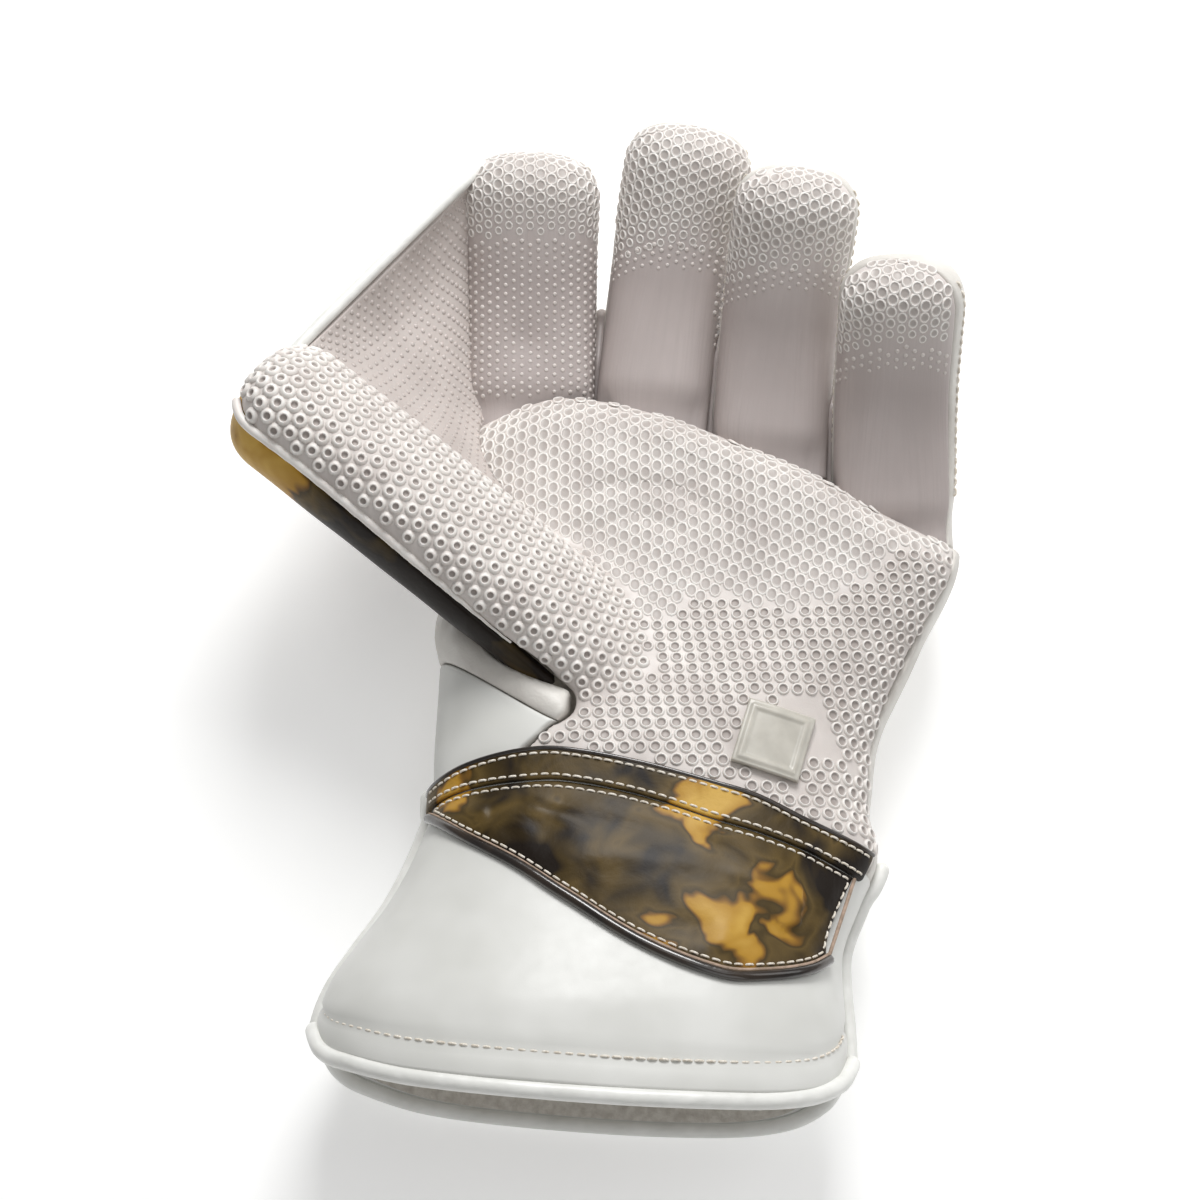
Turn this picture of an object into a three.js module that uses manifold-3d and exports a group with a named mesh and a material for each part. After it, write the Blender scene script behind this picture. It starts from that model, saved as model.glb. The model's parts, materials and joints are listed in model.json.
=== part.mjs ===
// A wicketkeeping glove for the left hand, lying on its back with the palm up.
// +X runs across the palm from the thumb to the little finger, +Y runs along the fingers and +Z is up.
// The glove is a hollow shell: a flared cuff, a hand, four finger stalls and a thumb stall that all open into
// one another, with a rubber web between the thumb and the index finger.
// Every piece is a wall of its own, cut to shape on one of those forms. All lengths are in millimetres.
import * as THREE from "three";
import { mergeVertices } from "three/addons/utils/BufferGeometryUtils.js";
import Module from "manifold-3d";

const wasm = await Module();
wasm.setup();

// Clearance between neighbouring pieces.
const seamGap = 0.4;
const creaseGap = 1;
const overlayGap = 0.8;

// Walls: facing, padding and lining together.
const palmWall = 6;
const fingerWall = 4.5;
const thumbWall = 4.5;
const backWall = 5;
const cuffWall = 4.5;
const webWall = 3.4;
const gussetWall = 3.2;

// The hand and the cuff, as ovals across the glove.
const wristWidth = 141;
const wristDepth = 66;
const cuffLength = 99;
const mouthWidth = 164.5;
const mouthDepth = 93;
const handLength = 148;
const rootDepth = 43;
const littleSideLift = 13;
// How far the middle of the mouth and of the finger roots lie from the wrist's, to the little finger's side.
const mouthShift = -22.2;
const rootShift = 20;

// The palm's padded lip, which rolls down into the crease at the finger roots, and the hollow of the palm.
const lipRoll = 15;
const lipDrop = 9;
const palmHollow = 5;

// How far the padded roll of the thumb's gusset stands proud.
const gussetRoll = 2;

// Finger stalls: width at the root and near the tip, depth near the tip, reach past the crease, how far the
// tip leans to the little finger's side, how high its middle lies over the floor and how far, as an angle,
// the back's leather wraps round to the face.
const indexStall = { rootWidth: 44, tipWidth: 46.5, depth: 30, reach: 80, lean: 0.5, tipRise: 60, wrap: 0 };
const middleStall = { rootWidth: 39, tipWidth: 43, depth: 30, reach: 93, lean: 14.5, tipRise: 64, wrap: 0.25 };
const ringStall = { rootWidth: 40, tipWidth: 41.5, depth: 30, reach: 86, lean: 9, tipRise: 82, wrap: 0.4 };
const littleStall = { rootWidth: 41, tipWidth: 41, depth: 29, reach: 74, lean: 0, tipRise: 90, wrap: 0.7 };
const tipRound = 16;
const stallOverlap = 16;
const rootInset = 0.6;

// The thumb stall leaves the palm near the heel and rises over the thumb side, turned to face the palm.
const thumbWidth = 44;
const thumbFaceDepth = 16;
const thumbBackDepth = 22;
const thumbReach = 130;
const thumbSpread = 95;
const thumbRootRise = 30;
const thumbTipRise = 83;
const thumbTurn = 36;
const thumbRound = 18;

// The web between the thumb and the index finger: how far it sags and how deep its edges lie in the stalls.
const webSag = 15;
const webInset = 1;

// Trim: beads along edges, the patent patch and band over the wrist and the badge on the palm.
const cuffBinding = 2.6;
const bindingProud = 1.2;
const webBinding = 2.1;
const thumbBead = 1.5;
const patchPiping = 1.7;
const bandThickness = 1.6;
const bandEndInset = 4;
const patchThickness = 3.2;
const badgeSize = 22;
const badgeThickness = 1.8;

const white = 0xe9e6df;
const colours = {
  rubber: { color: 0xe6dfd9, roughness: 0.5, metalness: 0 },
  leather: { color: white, roughness: 0.38, metalness: 0 },
  cuff: { color: 0xe7e8e3, roughness: 0.32, metalness: 0 },
  patent: { color: 0x5b4a22, roughness: 0.18, metalness: 0 },
  piping: { color: 0x17120f, roughness: 0.25, metalness: 0 },
  binding: { color: 0xf1efe8, roughness: 0.4, metalness: 0 },
  badge: { color: 0xdedbd2, roughness: 0.45, metalness: 0 },
};

const lerp = (a, b, t) => a + (b - a) * t;
const clamp = (x, low, high) => Math.min(high, Math.max(low, x));
const smooth = (x) => {
  const t = clamp(x, 0, 1);
  return t * t * (3 - 2 * t);
};

// A smooth curve through the rows of a table: the named column as a function of the first one.
function columnOf(rows, key, column) {
  const xs = rows.map((row) => row[key]);
  const ys = rows.map((row) => row[column]);
  const slopes = ys.map((y, i) => {
    const a = Math.max(i - 1, 0);
    const b = Math.min(i + 1, ys.length - 1);
    return (ys[b] - ys[a]) / (xs[b] - xs[a]);
  });
  return (x) => {
    if (x <= xs[0]) return ys[0];
    if (x >= xs[xs.length - 1]) return ys[ys.length - 1];
    const i = xs.findIndex((value) => value > x) - 1;
    const h = xs[i + 1] - xs[i];
    const t = (x - xs[i]) / h;
    const cubic = (1 + 2 * t) * (1 - t) * (1 - t) * ys[i] + t * t * (3 - 2 * t) * ys[i + 1];
    return cubic + h * t * (1 - t) * ((1 - t) * slopes[i] - t * slopes[i + 1]);
  };
}

// A closed mesh as a solid that can be cut and joined.
function solidOf(geometry) {
  const merged = mergeVertices(geometry, 1e-4);
  const corners = merged.index.array;
  const kept = [];
  for (let i = 0; i < corners.length; i += 3) {
    const [a, b, c] = [corners[i], corners[i + 1], corners[i + 2]];
    if (a !== b && b !== c && a !== c) kept.push(a, b, c);
  }
  const position = merged.attributes.position.array;
  const mesh = new wasm.Mesh({ numProp: 3, vertProperties: position, triVerts: new Uint32Array(kept) });
  return new wasm.Manifold(mesh);
}

// Triangles between the points of a grid; sign turns them to face the other way.
function gridFaces(list, grid, sign) {
  for (let i = 0; i + 1 < grid.length; i += 1) {
    for (let j = 0; j + 1 < grid[i].length; j += 1) {
      const [a, b, c, d] = [grid[i][j], grid[i + 1][j], grid[i + 1][j + 1], grid[i][j + 1]];
      if (sign > 0) list.push(a, b, c, a, c, d);
      else list.push(a, c, b, a, d, c);
    }
  }
}

function geometryOf(list) {
  const geometry = new THREE.BufferGeometry();
  const numbers = new Float32Array(list.flatMap((p) => [...p]));
  geometry.setAttribute("position", new THREE.BufferAttribute(numbers, 3));
  return geometry;
}

// A wall between an outer and an inner sheet. Each sheet is a function of s and t, both from 0 to 1.
function wall(outer, inner, sSteps, tSteps) {
  const rows = (sheet) =>
    Array.from({ length: sSteps + 1 }, (_, i) =>
      Array.from({ length: tSteps + 1 }, (_, j) => sheet(i / sSteps, j / tSteps)),
    );
  const top = rows(outer);
  const bottom = rows(inner);
  const faces = [];
  gridFaces(faces, top, 1);
  gridFaces(faces, bottom, -1);
  gridFaces(faces, [top.map((row) => row[0]), bottom.map((row) => row[0])], 1);
  gridFaces(faces, [top.map((row) => row[tSteps]), bottom.map((row) => row[tSteps])], -1);
  gridFaces(faces, [top[0], bottom[0]], -1);
  gridFaces(faces, [top[sSteps], bottom[sSteps]], 1);
  const solid = solidOf(geometryOf(faces));
  return solid.volume() < 0 ? solidOf(geometryOf(faces.reverse())) : solid;
}

// A closed solid through rings of points. Each end is closed from one side of its ring straight to the other.
function skin(rings) {
  const faces = [];
  gridFaces(faces, rings.map((ring) => [...ring, ring[0]]), 1);
  for (const [end, sign] of [[rings[0], -1], [rings[rings.length - 1], 1]]) {
    const half = end.length / 2;
    const oneSide = Array.from({ length: half + 1 }, (_, i) => end[i]);
    const otherSide = oneSide.map((_, i) => end[(end.length - i) % end.length]);
    gridFaces(faces, [oneSide, otherSide], sign);
  }
  const solid = solidOf(geometryOf(faces));
  return solid.volume() < 0 ? solidOf(geometryOf(faces.reverse())) : solid;
}

// A round bead along a smooth line of points.
function bead(points, radius, steps, sides = 6) {
  const path = new THREE.CatmullRomCurve3(points);
  const rings = [];
  let side = new THREE.Vector3(0, 0, 1);
  for (let i = 0; i <= steps; i += 1) {
    const centre = path.getPointAt(i / steps);
    const along = path.getTangentAt(i / steps);
    side = side.clone().addScaledVector(along, -side.dot(along)).normalize();
    const other = new THREE.Vector3().crossVectors(along, side);
    rings.push(
      Array.from({ length: sides }, (_, j) => {
        const angle = (2 * Math.PI * j) / sides;
        return centre
          .clone()
          .addScaledVector(side, radius * Math.cos(angle))
          .addScaledVector(other, radius * Math.sin(angle));
      }),
    );
  }
  return skin(rings);
}

// A round bead along a closed line of points.
function ring(points, radius, steps, sides = 6) {
  const path = new THREE.CatmullRomCurve3(points, true);
  const rings = Array.from({ length: steps + 1 }, (_, i) => {
    const at = (i % steps) / steps;
    const centre = path.getPointAt(at);
    const along = path.getTangentAt(at);
    const side = new THREE.Vector3(0, 1, 0).addScaledVector(along, -along.y).normalize();
    const other = new THREE.Vector3().crossVectors(along, side);
    return Array.from({ length: sides + 1 }, (_, j) => {
      const angle = (2 * Math.PI * (j % sides)) / sides;
      return centre
        .clone()
        .addScaledVector(side, radius * Math.cos(angle))
        .addScaledVector(other, radius * Math.sin(angle));
    });
  });
  const faces = [];
  gridFaces(faces, rings, 1);
  const solid = solidOf(geometryOf(faces));
  return solid.volume() < 0 ? solidOf(geometryOf(faces.reverse())) : solid;
}

// The piece that is left when the others are cut away; small off-cuts are waste.
function cutBy(solid, ...others) {
  const left = others.reduce((rest, other) => rest.subtract(other), solid);
  return left.decompose().reduce((best, part) => (part.volume() > best.volume() ? part : best));
}

// The point on a rounded section at an angle from the right-hand side, as shares of its half axes.
function onOval(angle, power) {
  const shape = (x) => Math.sign(x) * Math.pow(Math.abs(x), 2 / power);
  return [shape(Math.cos(angle)), shape(Math.sin(angle))];
}

// The hand and cuff as one form, from the mouth at -1 past the wrist at 0 to the finger roots at 1. The other
// columns are the share of the way from the wrist's size to the mouth's or the finger roots'.
const cuffSections = [
  { along: -1.0, left: 1.0, right: 1.0, depth: 1.0 },
  { along: -0.7, left: 0.98, right: 1.03, depth: 0.82 },
  { along: -0.57, left: 0.87, right: 1.08, depth: 0.66 },
  { along: -0.45, left: 0.66, right: 1.02, depth: 0.49 },
  { along: -0.3, left: 0.37, right: 0.45, depth: 0.29 },
  { along: -0.15, left: 0.16, right: -0.2, depth: 0.12 },
  { along: 0.0, left: 0.0, right: 0.0, depth: 0.0 },
];
const handSections = [
  { along: 0.0, left: 0.0, right: 0.0, depth: 0.0 },
  { along: 0.17, left: 0.02, right: 0.14, depth: 0.17 },
  { along: 0.38, left: 0.1, right: 0.6, depth: 0.42 },
  { along: 0.56, left: 0.32, right: 1.0, depth: 0.61 },
  { along: 0.78, left: 0.8, right: 1.0, depth: 0.86 },
  { along: 0.95, left: 1.0, right: 1.0, depth: 1.0 },
];
// The crease at the finger roots, from the index finger's side to the little finger's.
const creaseLine = [
  { across: 0.0, along: 0.93 },
  { across: 0.1, along: 0.975 },
  { across: 0.2, along: 1.0 },
  { across: 0.36, along: 0.966 },
  { across: 0.56, along: 0.872 },
  { across: 0.74, along: 0.755 },
  { across: 0.93, along: 0.625 },
  { across: 1.0, along: 0.6 },
];

const stalls = [
  { name: "index", ...indexStall },
  { name: "middle", ...middleStall },
  { name: "ring", ...ringStall },
  { name: "little", ...littleStall },
];
const rootWidth = stalls.reduce((sum, stall) => sum + stall.rootWidth, 0) + seamGap * (stalls.length - 1);
const rootLeft = rootShift - rootWidth / 2;
const rootRight = rootLeft + rootWidth;
const mouthLeft = mouthShift - mouthWidth / 2;
const mouthRight = mouthShift + mouthWidth / 2;

const cuffShare = (column) => columnOf(cuffSections, "along", column);
const handShare = (column) => columnOf(handSections, "along", column);
const shareAlong = (column) => {
  const cuff = cuffShare(column);
  const hand = handShare(column);
  return (y) => (y < 0 ? cuff(y / cuffLength) : hand(y / handLength));
};
const leftShare = shareAlong("left");
const rightShare = shareAlong("right");
const depthShare = shareAlong("depth");
const creaseShare = columnOf(creaseLine, "across", "along");
const creaseAt = (x) => handLength * creaseShare((x - rootLeft) / rootWidth);

const seamShare = 0.45;
const frontPower = 2.8;
const backPower = 3.6;
// How far the back's curve is pressed flat where it lies on the floor.
const backFlat = 1.03;

function sectionAt(y) {
  const inCuff = y < 0;
  const left = lerp(-wristWidth / 2, inCuff ? mouthLeft : rootLeft, leftShare(y));
  const right = lerp(wristWidth / 2, inCuff ? mouthRight : rootRight, rightShare(y));
  const depth = lerp(wristDepth, inCuff ? mouthDepth : rootDepth, depthShare(y));
  return { middle: (left + right) / 2, half: (right - left) / 2, depth };
}

// The height of the hand and cuff's surface at a place across the section (-1 to 1) on the palm side or back.
function handHeight(across, up, y, grow) {
  const { middle, half, depth } = sectionAt(y);
  const seam = depth * seamShare;
  const lift = littleSideLift * smooth((y / handLength - 0.05) / 0.6) * smooth((across + 0.35) / 1.3);
  if (up < 0) return seam + lift - Math.min(-up * backFlat, 1) * (seam + grow);
  const fromCrease = creaseAt(middle + across * half) - y;
  const roll = lipDrop * Math.pow(clamp(1 - fromCrease / lipRoll, 0, 1), 2);
  const inPalm = smooth(1 - Math.abs(y / handLength - 0.5) / 0.4);
  const hollow = palmHollow * inPalm * smooth(1.2 - Math.abs(across - 0.1));
  return seam + lift + up * (depth - seam - roll - hollow + grow);
}

// A point on the hand and cuff at an angle round its section: 0 at the little finger's side, 90 degrees at
// the palm, 180 at the thumb's side and -90 at the back. It can be grown outwards by a distance.
function handPoint(angle, y, grow = 0) {
  const { middle, half } = sectionAt(y);
  const [across, up] = onOval(angle, Math.sin(angle) >= 0 ? frontPower : backPower);
  return new THREE.Vector3(middle + across * (half + grow), y, handHeight(across, up, y, grow));
}

// The height of the palm side or the back over a point of the floor plan.
function heightOver(x, y, front) {
  const { middle, half } = sectionAt(y);
  const across = clamp((x - middle) / half, -0.97, 0.97);
  const power = front ? frontPower : backPower;
  const up = Math.pow(1 - Math.pow(Math.abs(across), power), 1 / power);
  return handHeight(across, front ? up : -up, y, 0);
}

// The angle at which the surface lies a distance above (or, below zero, under) the widest line of a section.
function angleOff(distance, y) {
  const { depth } = sectionAt(y);
  const front = distance >= 0;
  const radius = depth * (front ? 1 - seamShare : seamShare);
  const share = clamp(Math.abs(distance) / radius, 0, 1);
  return Math.sign(distance) * Math.asin(Math.pow(share, (front ? frontPower : backPower) / 2));
}

// A panel of the hand or cuff between two angles, given along y, and two lines across it, given along x.
// Its outer side stands off the surface by a length, or by a function of the way across and along the panel.
function panel({ from, to, low, high, outer, inner, across, along }) {
  const place = (s, t) => {
    let y = 0;
    let angle = 0;
    for (let pass = 0; pass < 4; pass += 1) {
      angle = lerp(from(y), to(y), s);
      const { x } = handPoint(angle, y);
      y = lerp(low(x), high(x), t);
    }
    return [angle, y];
  };
  const sheet = (growAt) => (s, t) => handPoint(...place(s, t), growAt(s, t));
  const fixed = (grow) => () => grow;
  return wall(sheet(typeof outer === "number" ? fixed(outer) : outer), sheet(fixed(inner)), across, along);
}

// The closed form of the hand and cuff, grown by a distance, for cutting what meets it. It ends past the
// crease.
function handForm(grow, pastCrease) {
  const sides = 52;
  const rings = 20;
  const creaseOn = (angle) => {
    let y = handLength;
    for (let pass = 0; pass < 4; pass += 1) y = creaseAt(handPoint(angle, y, grow).x);
    return y + pastCrease;
  };
  const ringAt = (t) =>
    Array.from({ length: sides }, (_, j) => {
      const angle = (2 * Math.PI * j) / sides;
      return handPoint(angle, lerp(-cuffLength, creaseOn(angle), t), grow);
    });
  return skin(Array.from({ length: rings + 1 }, (_, i) => ringAt(i / rings)));
}

// A stall: a bent tube with a blunt, rounded end. The way along it runs from 0 at the root to 1 at the very
// tip, and the last stretch of it, past tipStart, is the rounded end. The root section can be squarer.
const tipStart = 0.66;
class Stall {
  constructor({ points, side, width, front, back, tip, rootPower }) {
    this.path = new THREE.CatmullRomCurve3(points);
    this.length = this.path.getLength();
    this.side = side;
    this.tip = tip;
    this.width = width;
    this.front = front;
    this.back = back;
    this.power = (share) => lerp(rootPower, 2.5, smooth(share / 0.7));
  }

  frame(share) {
    const at = clamp(share, 0, 1);
    const along = this.path.getTangentAt(at);
    const side = this.side.clone().addScaledVector(along, -this.side.dot(along)).normalize();
    const face = new THREE.Vector3().crossVectors(side, along).normalize();
    return { centre: this.path.getPointAt(at), along, side, face };
  }

  // How far along the path a way lies, and how far the rounded end has closed there.
  onPath(way) {
    const end = this.tip / this.length;
    const dome = clamp((way - tipStart) / (1 - tipStart), 0, 1) * (Math.PI / 2);
    const [open, forward] = onOval(dome, 2.6);
    const share = Math.min(way / tipStart, 1) * (1 - end) + end * forward;
    return { share, open: way >= 1 ? 0 : open, forward: dome > 0 ? forward : 0 };
  }

  // A point at an angle round the stall: 0 at its +side, 90 degrees at its face. It belongs to the front half
  // (1) or the back half (-1), which part by the seam's clearance.
  point(angle, way, grow = 0, part = angle >= 0 ? 1 : -1) {
    const { share, open, forward } = this.onPath(way);
    const { centre, along, side, face } = this.frame(share);
    const [across, up] = onOval(angle, this.power(share));
    const deep = angle >= 0 ? this.front(share) : this.back(share);
    return centre
      .addScaledVector(along, grow * forward)
      .addScaledVector(side, across * (this.width(share) / 2 + grow) * open)
      .addScaledVector(face, up * (deep + grow) * open + (part * seamGap) / 2);
  }

  // The front half as a wall, or the back half. The back can wrap round on the +side by an angle.
  half(front, thickness, across, along, wrap = 0) {
    const turnAt = (s) => (front ? lerp(wrap, Math.PI, s) : lerp(wrap, -Math.PI, s));
    const sheet = (grow) => (s, t) => this.point(turnAt(s), t, grow, front ? 1 : -1);
    return wall(sheet(0), sheet(-thickness), across, along);
  }

  form(grow, rings = 14, sides = 20) {
    const last = 0.997;
    const ringAt = (way) =>
      Array.from({ length: sides }, (_, j) => {
        const angle = (2 * Math.PI * (j + 0.5)) / sides;
        return this.point(angle > Math.PI ? angle - 2 * Math.PI : angle, way, grow);
      });
    return skin(Array.from({ length: rings + 1 }, (_, i) => ringAt((last * i) / rings)));
  }
}

function fingerStall({ rootWidth: wide, tipWidth, depth, reach, lean, tipRise }, rootX) {
  const crease = creaseAt(rootX);
  const top = heightOver(rootX, crease, true);
  const bottom = heightOver(rootX, crease, false);
  const middle = (top + bottom) / 2;
  const rise = tipRise - middle;
  const points = [
    new THREE.Vector3(rootX, crease - stallOverlap, middle + rootInset),
    new THREE.Vector3(rootX, crease, middle + rootInset),
    new THREE.Vector3(rootX + lean * 0.4, crease + reach * 0.5, middle + rise * 0.31),
    new THREE.Vector3(rootX + lean, crease + reach, tipRise),
  ];
  const deep = (share) => lerp((top - bottom) / 2 - rootInset, depth / 2, smooth((share - 0.15) / 0.5));
  return new Stall({
    points,
    side: new THREE.Vector3(1, 0, 0),
    width: (share) => lerp(wide, tipWidth, smooth(share)),
    front: deep,
    back: deep,
    tip: tipRound,
    rootPower: 4,
  });
}

let nextLeft = rootLeft;
const fingers = stalls.map((stall) => {
  const rootX = nextLeft + stall.rootWidth / 2;
  nextLeft += stall.rootWidth + seamGap;
  return { name: stall.name, stall: fingerStall(stall, rootX), wrap: stall.wrap };
});
const indexForm = fingers[0].stall;

// The thumb's line, as shares of its reach across the palm, of its reach along it and of its rise.
const thumbLine = [
  { out: 0.0, along: 0.0, rise: 0.0 },
  { out: 0.25, along: 0.24, rise: 0.36 },
  { out: 0.58, along: 0.57, rise: 0.72 },
  { out: 1.0, along: 1.0, rise: 1.0 },
];
const thumbRoot = { x: wristWidth * 0.02, y: handLength * 0.26 };
const thumbPoints = thumbLine.map(
  ({ out, along, rise }) =>
    new THREE.Vector3(
      thumbRoot.x - out * thumbReach,
      thumbRoot.y + along * thumbSpread,
      lerp(thumbRootRise, thumbTipRise, rise),
    ),
);
const thumbAxis = thumbPoints[3].clone().sub(thumbPoints[0]).setZ(0).normalize();
const thumbAngle = THREE.MathUtils.degToRad(thumbTurn);
const thumbSide = new THREE.Vector3(thumbAxis.y, -thumbAxis.x, 0).multiplyScalar(Math.cos(thumbAngle));
thumbSide.z = -Math.sin(thumbAngle);
const thumb = new Stall({
  points: thumbPoints,
  side: thumbSide,
  width: (share) => thumbWidth * lerp(1.08, 0.97, smooth(share)),
  front: () => thumbFaceDepth,
  back: (share) => thumbBackDepth * lerp(0.72, 1, smooth(share / 0.8)),
  tip: thumbRound,
  rootPower: 2.5,
});

const handCut = handForm(seamGap, creaseGap);
const stallCut = handForm(stallOverlap / 2, creaseGap);
const thumbCut = thumb.form(seamGap);
const indexCut = indexForm.form(seamGap);
const thumbHollow = thumb.form(-thumbWall - seamGap);

const group = new THREE.Group();
function add(name, solid, colour) {
  const made = solid.getMesh();
  const geometry = new THREE.BufferGeometry();
  geometry.setAttribute("position", new THREE.BufferAttribute(new Float32Array(made.vertProperties), 3));
  geometry.setIndex(new THREE.BufferAttribute(new Uint32Array(made.triVerts), 1));
  const mesh = new THREE.Mesh(geometry, new THREE.MeshStandardMaterial(colours[colour]));
  mesh.name = name;
  group.add(mesh);
}

for (const { name, stall, wrap } of fingers) {
  add(`${name}_front`, cutBy(stall.half(true, fingerWall, 7, 10, wrap), stallCut, thumbCut), "rubber");
  add(`${name}_back`, cutBy(stall.half(false, fingerWall, 7, 10, wrap), stallCut, thumbCut), "leather");
}
add("thumb_front", cutBy(thumb.half(true, thumbWall, 9, 11), handCut), "rubber");
add("thumb_back", cutBy(thumb.half(false, thumbWall, 9, 11), handCut), "patent");
const beadWays = [0.28, 0.38, 0.48, 0.58, 0.67, 0.74, 0.8];
const thumbEdge = bead(
  beadWays.map((way) => thumb.point(Math.PI, way, thumbBead + seamGap)),
  thumbBead,
  24,
);
add("thumb_bead", cutBy(thumbEdge, handCut), "binding");

// The lines across the wrist, from the thumb's side to the little finger's, as shares of the wrist's width
// from its middle and of the cuff's length from the wrist.
const wristLines = [
  { across: -0.5, bandTop: 0.07, bandLow: 0.005, patchLow: -0.04 },
  { across: -0.41, bandTop: 0.12, bandLow: 0.035, patchLow: -0.14 },
  { across: -0.29, bandTop: 0.154, bandLow: 0.048, patchLow: -0.25 },
  { across: -0.2, bandTop: 0.156, bandLow: 0.048, patchLow: -0.345 },
  { across: -0.03, bandTop: 0.107, bandLow: -0.003, patchLow: -0.51 },
  { across: 0.13, bandTop: 0.04, bandLow: -0.083, patchLow: -0.606 },
  { across: 0.22, bandTop: 0.0, bandLow: -0.122, patchLow: -0.609 },
  { across: 0.325, bandTop: -0.074, bandLow: -0.178, patchLow: -0.575 },
  { across: 0.4, bandTop: -0.12, bandLow: -0.225, patchLow: -0.5 },
  { across: 0.5, bandTop: -0.175, bandLow: -0.28, patchLow: -0.42 },
];
const wristLine = (column) => {
  const share = columnOf(wristLines, "across", column);
  return (x) => cuffLength * share(x / wristWidth);
};
const bandTop = wristLine("bandTop");
const bandLow = wristLine("bandLow");
const patchLow = wristLine("patchLow");
const joint = (x) => (bandTop(x) + bandLow(x)) / 2;
const above = (line, distance) => (x) => line(x) + distance;

// The mouth's hem, from the thumb's side to the little finger's: its corners are rounded off.
const hemLine = [
  { across: -0.5, along: -0.72 },
  { across: -0.475, along: -0.82 },
  { across: -0.43, along: -0.87 },
  { across: -0.3, along: -0.93 },
  { across: -0.02, along: -0.98 },
  { across: 0.25, along: -1.0 },
  { across: 0.4, along: -0.985 },
  { across: 0.47, along: -0.93 },
  { across: 0.5, along: -0.84 },
];
const hemShare = columnOf(hemLine, "across", "along");
const hem = (x) => cuffLength * hemShare((x - mouthShift) / mouthWidth);

// The gusset under the thumb: its padded roll lies between its seam and its top, along the thumb.
const gussetLines = [
  { across: -0.52, seam: 0.37, top: 0.56 },
  { across: -0.39, seam: 0.28, top: 0.42 },
  { across: -0.25, seam: 0.19, top: 0.29 },
  { across: -0.18, seam: 0.155, top: 0.24 },
];
const gussetShare = (column) => {
  const share = columnOf(gussetLines, "across", column);
  return (x) => handLength * share(x / wristWidth);
};
const gussetSeam = gussetShare("seam");
const gussetTop = gussetShare("top");
// The angle at which the palm's rubber ends at the gusset: further to the thumb's side at the wrist.
const gussetEdge = (y) => lerp(2.1, 1.85, smooth((y / handLength - 0.08) / 0.12));
const gussetGap = 0.024;

const edgeGap = seamGap / 2;
const jointGap = 0.45;
const thumbSideEdge = (distance) => (y) => Math.PI - angleOff(distance, y);
const littleSideEdge = 0.3;
const littleSideGap = 0.018;

const palmSheet = panel({
  from: () => littleSideEdge,
  to: thumbSideEdge(edgeGap),
  low: above(joint, jointGap),
  high: creaseAt,
  outer: 0,
  inner: -palmWall,
  across: 20,
  along: 12,
});
const gussetCut = panel({
  from: gussetEdge,
  to: () => Math.PI + 0.2,
  low: above(joint, -palmWall),
  high: gussetTop,
  outer: palmWall,
  inner: -palmWall * 1.5,
  across: 8,
  along: 9,
});
add("palm", cutBy(palmSheet, thumbHollow, gussetCut), "rubber");
const sidePanel = panel({
  from: (y) => gussetEdge(y) + gussetGap,
  to: thumbSideEdge(edgeGap),
  low: above(joint, jointGap),
  high: above(gussetSeam, -edgeGap),
  outer: 0,
  inner: -gussetWall,
  across: 8,
  along: 6,
});
add("side_panel", sidePanel, "leather");
const gusset = panel({
  from: (y) => gussetEdge(y) + gussetGap,
  to: thumbSideEdge(edgeGap),
  low: above(gussetSeam, edgeGap),
  high: above(gussetTop, -seamGap),
  outer: (s, t) => gussetRoll * Math.sin(Math.PI * t),
  inner: -gussetWall,
  across: 8,
  along: 5,
});
add("thumb_gusset", cutBy(gusset, thumbCut), "leather");
const back = panel({
  from: () => littleSideEdge - littleSideGap,
  to: (y) => -Math.PI - angleOff(-edgeGap, y),
  low: above(joint, jointGap),
  high: creaseAt,
  outer: 0,
  inner: -backWall,
  across: 15,
  along: 12,
});
add("hand_back", cutBy(back, thumbHollow), "leather");

// A binding round the mouth and along both side seams of the cuff, where it stands proud.
const bound = cuffBinding + seamGap;
const seamPoint = (angle, y) =>
  handPoint(angle, y, lerp(-cuffWall / 2, bindingProud, Math.pow(Math.abs(Math.cos(angle)), 4)));
const hemPoint = (angle) => {
  let y = -cuffLength;
  for (let pass = 0; pass < 6; pass += 1) y = hem(handPoint(angle, y).x) + bound;
  return seamPoint(angle, y);
};
const steps = (count, make) => Array.from({ length: count + 1 }, (_, i) => make(i / count));
const hemRing = steps(27, (t) => hemPoint(Math.PI * 2 * t)).slice(0, -1);
add("hem_binding", ring(hemRing, cuffBinding, 48), "binding");
const hemCut = ring(hemRing, cuffBinding + seamGap, 48);

// The cuff's front and back panels stand off the side seams by the bound edges between them.
const cuffFront = panel({
  from: (y) => angleOff(bound, y),
  to: thumbSideEdge(bound),
  low: above(hem, bound * 2),
  high: above(joint, -jointGap),
  outer: 0,
  inner: -cuffWall,
  across: 18,
  along: 10,
});
add("cuff_front", cutBy(cuffFront, hemCut), "cuff");
const cuffBack = panel({
  from: (y) => angleOff(-bound, y),
  to: (y) => -Math.PI - angleOff(-bound, y),
  low: above(hem, bound * 2),
  high: above(joint, -jointGap),
  outer: 0,
  inner: -cuffWall,
  across: 16,
  along: 7,
});
add("cuff_back", cutBy(cuffBack, hemCut), "cuff");

for (const [name, angle] of [
  ["thumb_side_binding", Math.PI],
  ["little_side_binding", 0],
]) {
  const top = joint(handPoint(angle, 0).x) - bound;
  const bottom = hemPoint(angle).y + bound + seamGap;
  const line = steps(6, (t) => seamPoint(angle, lerp(top, bottom, t)));
  add(name, bead(line, cuffBinding, 12), "binding");
}

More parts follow.
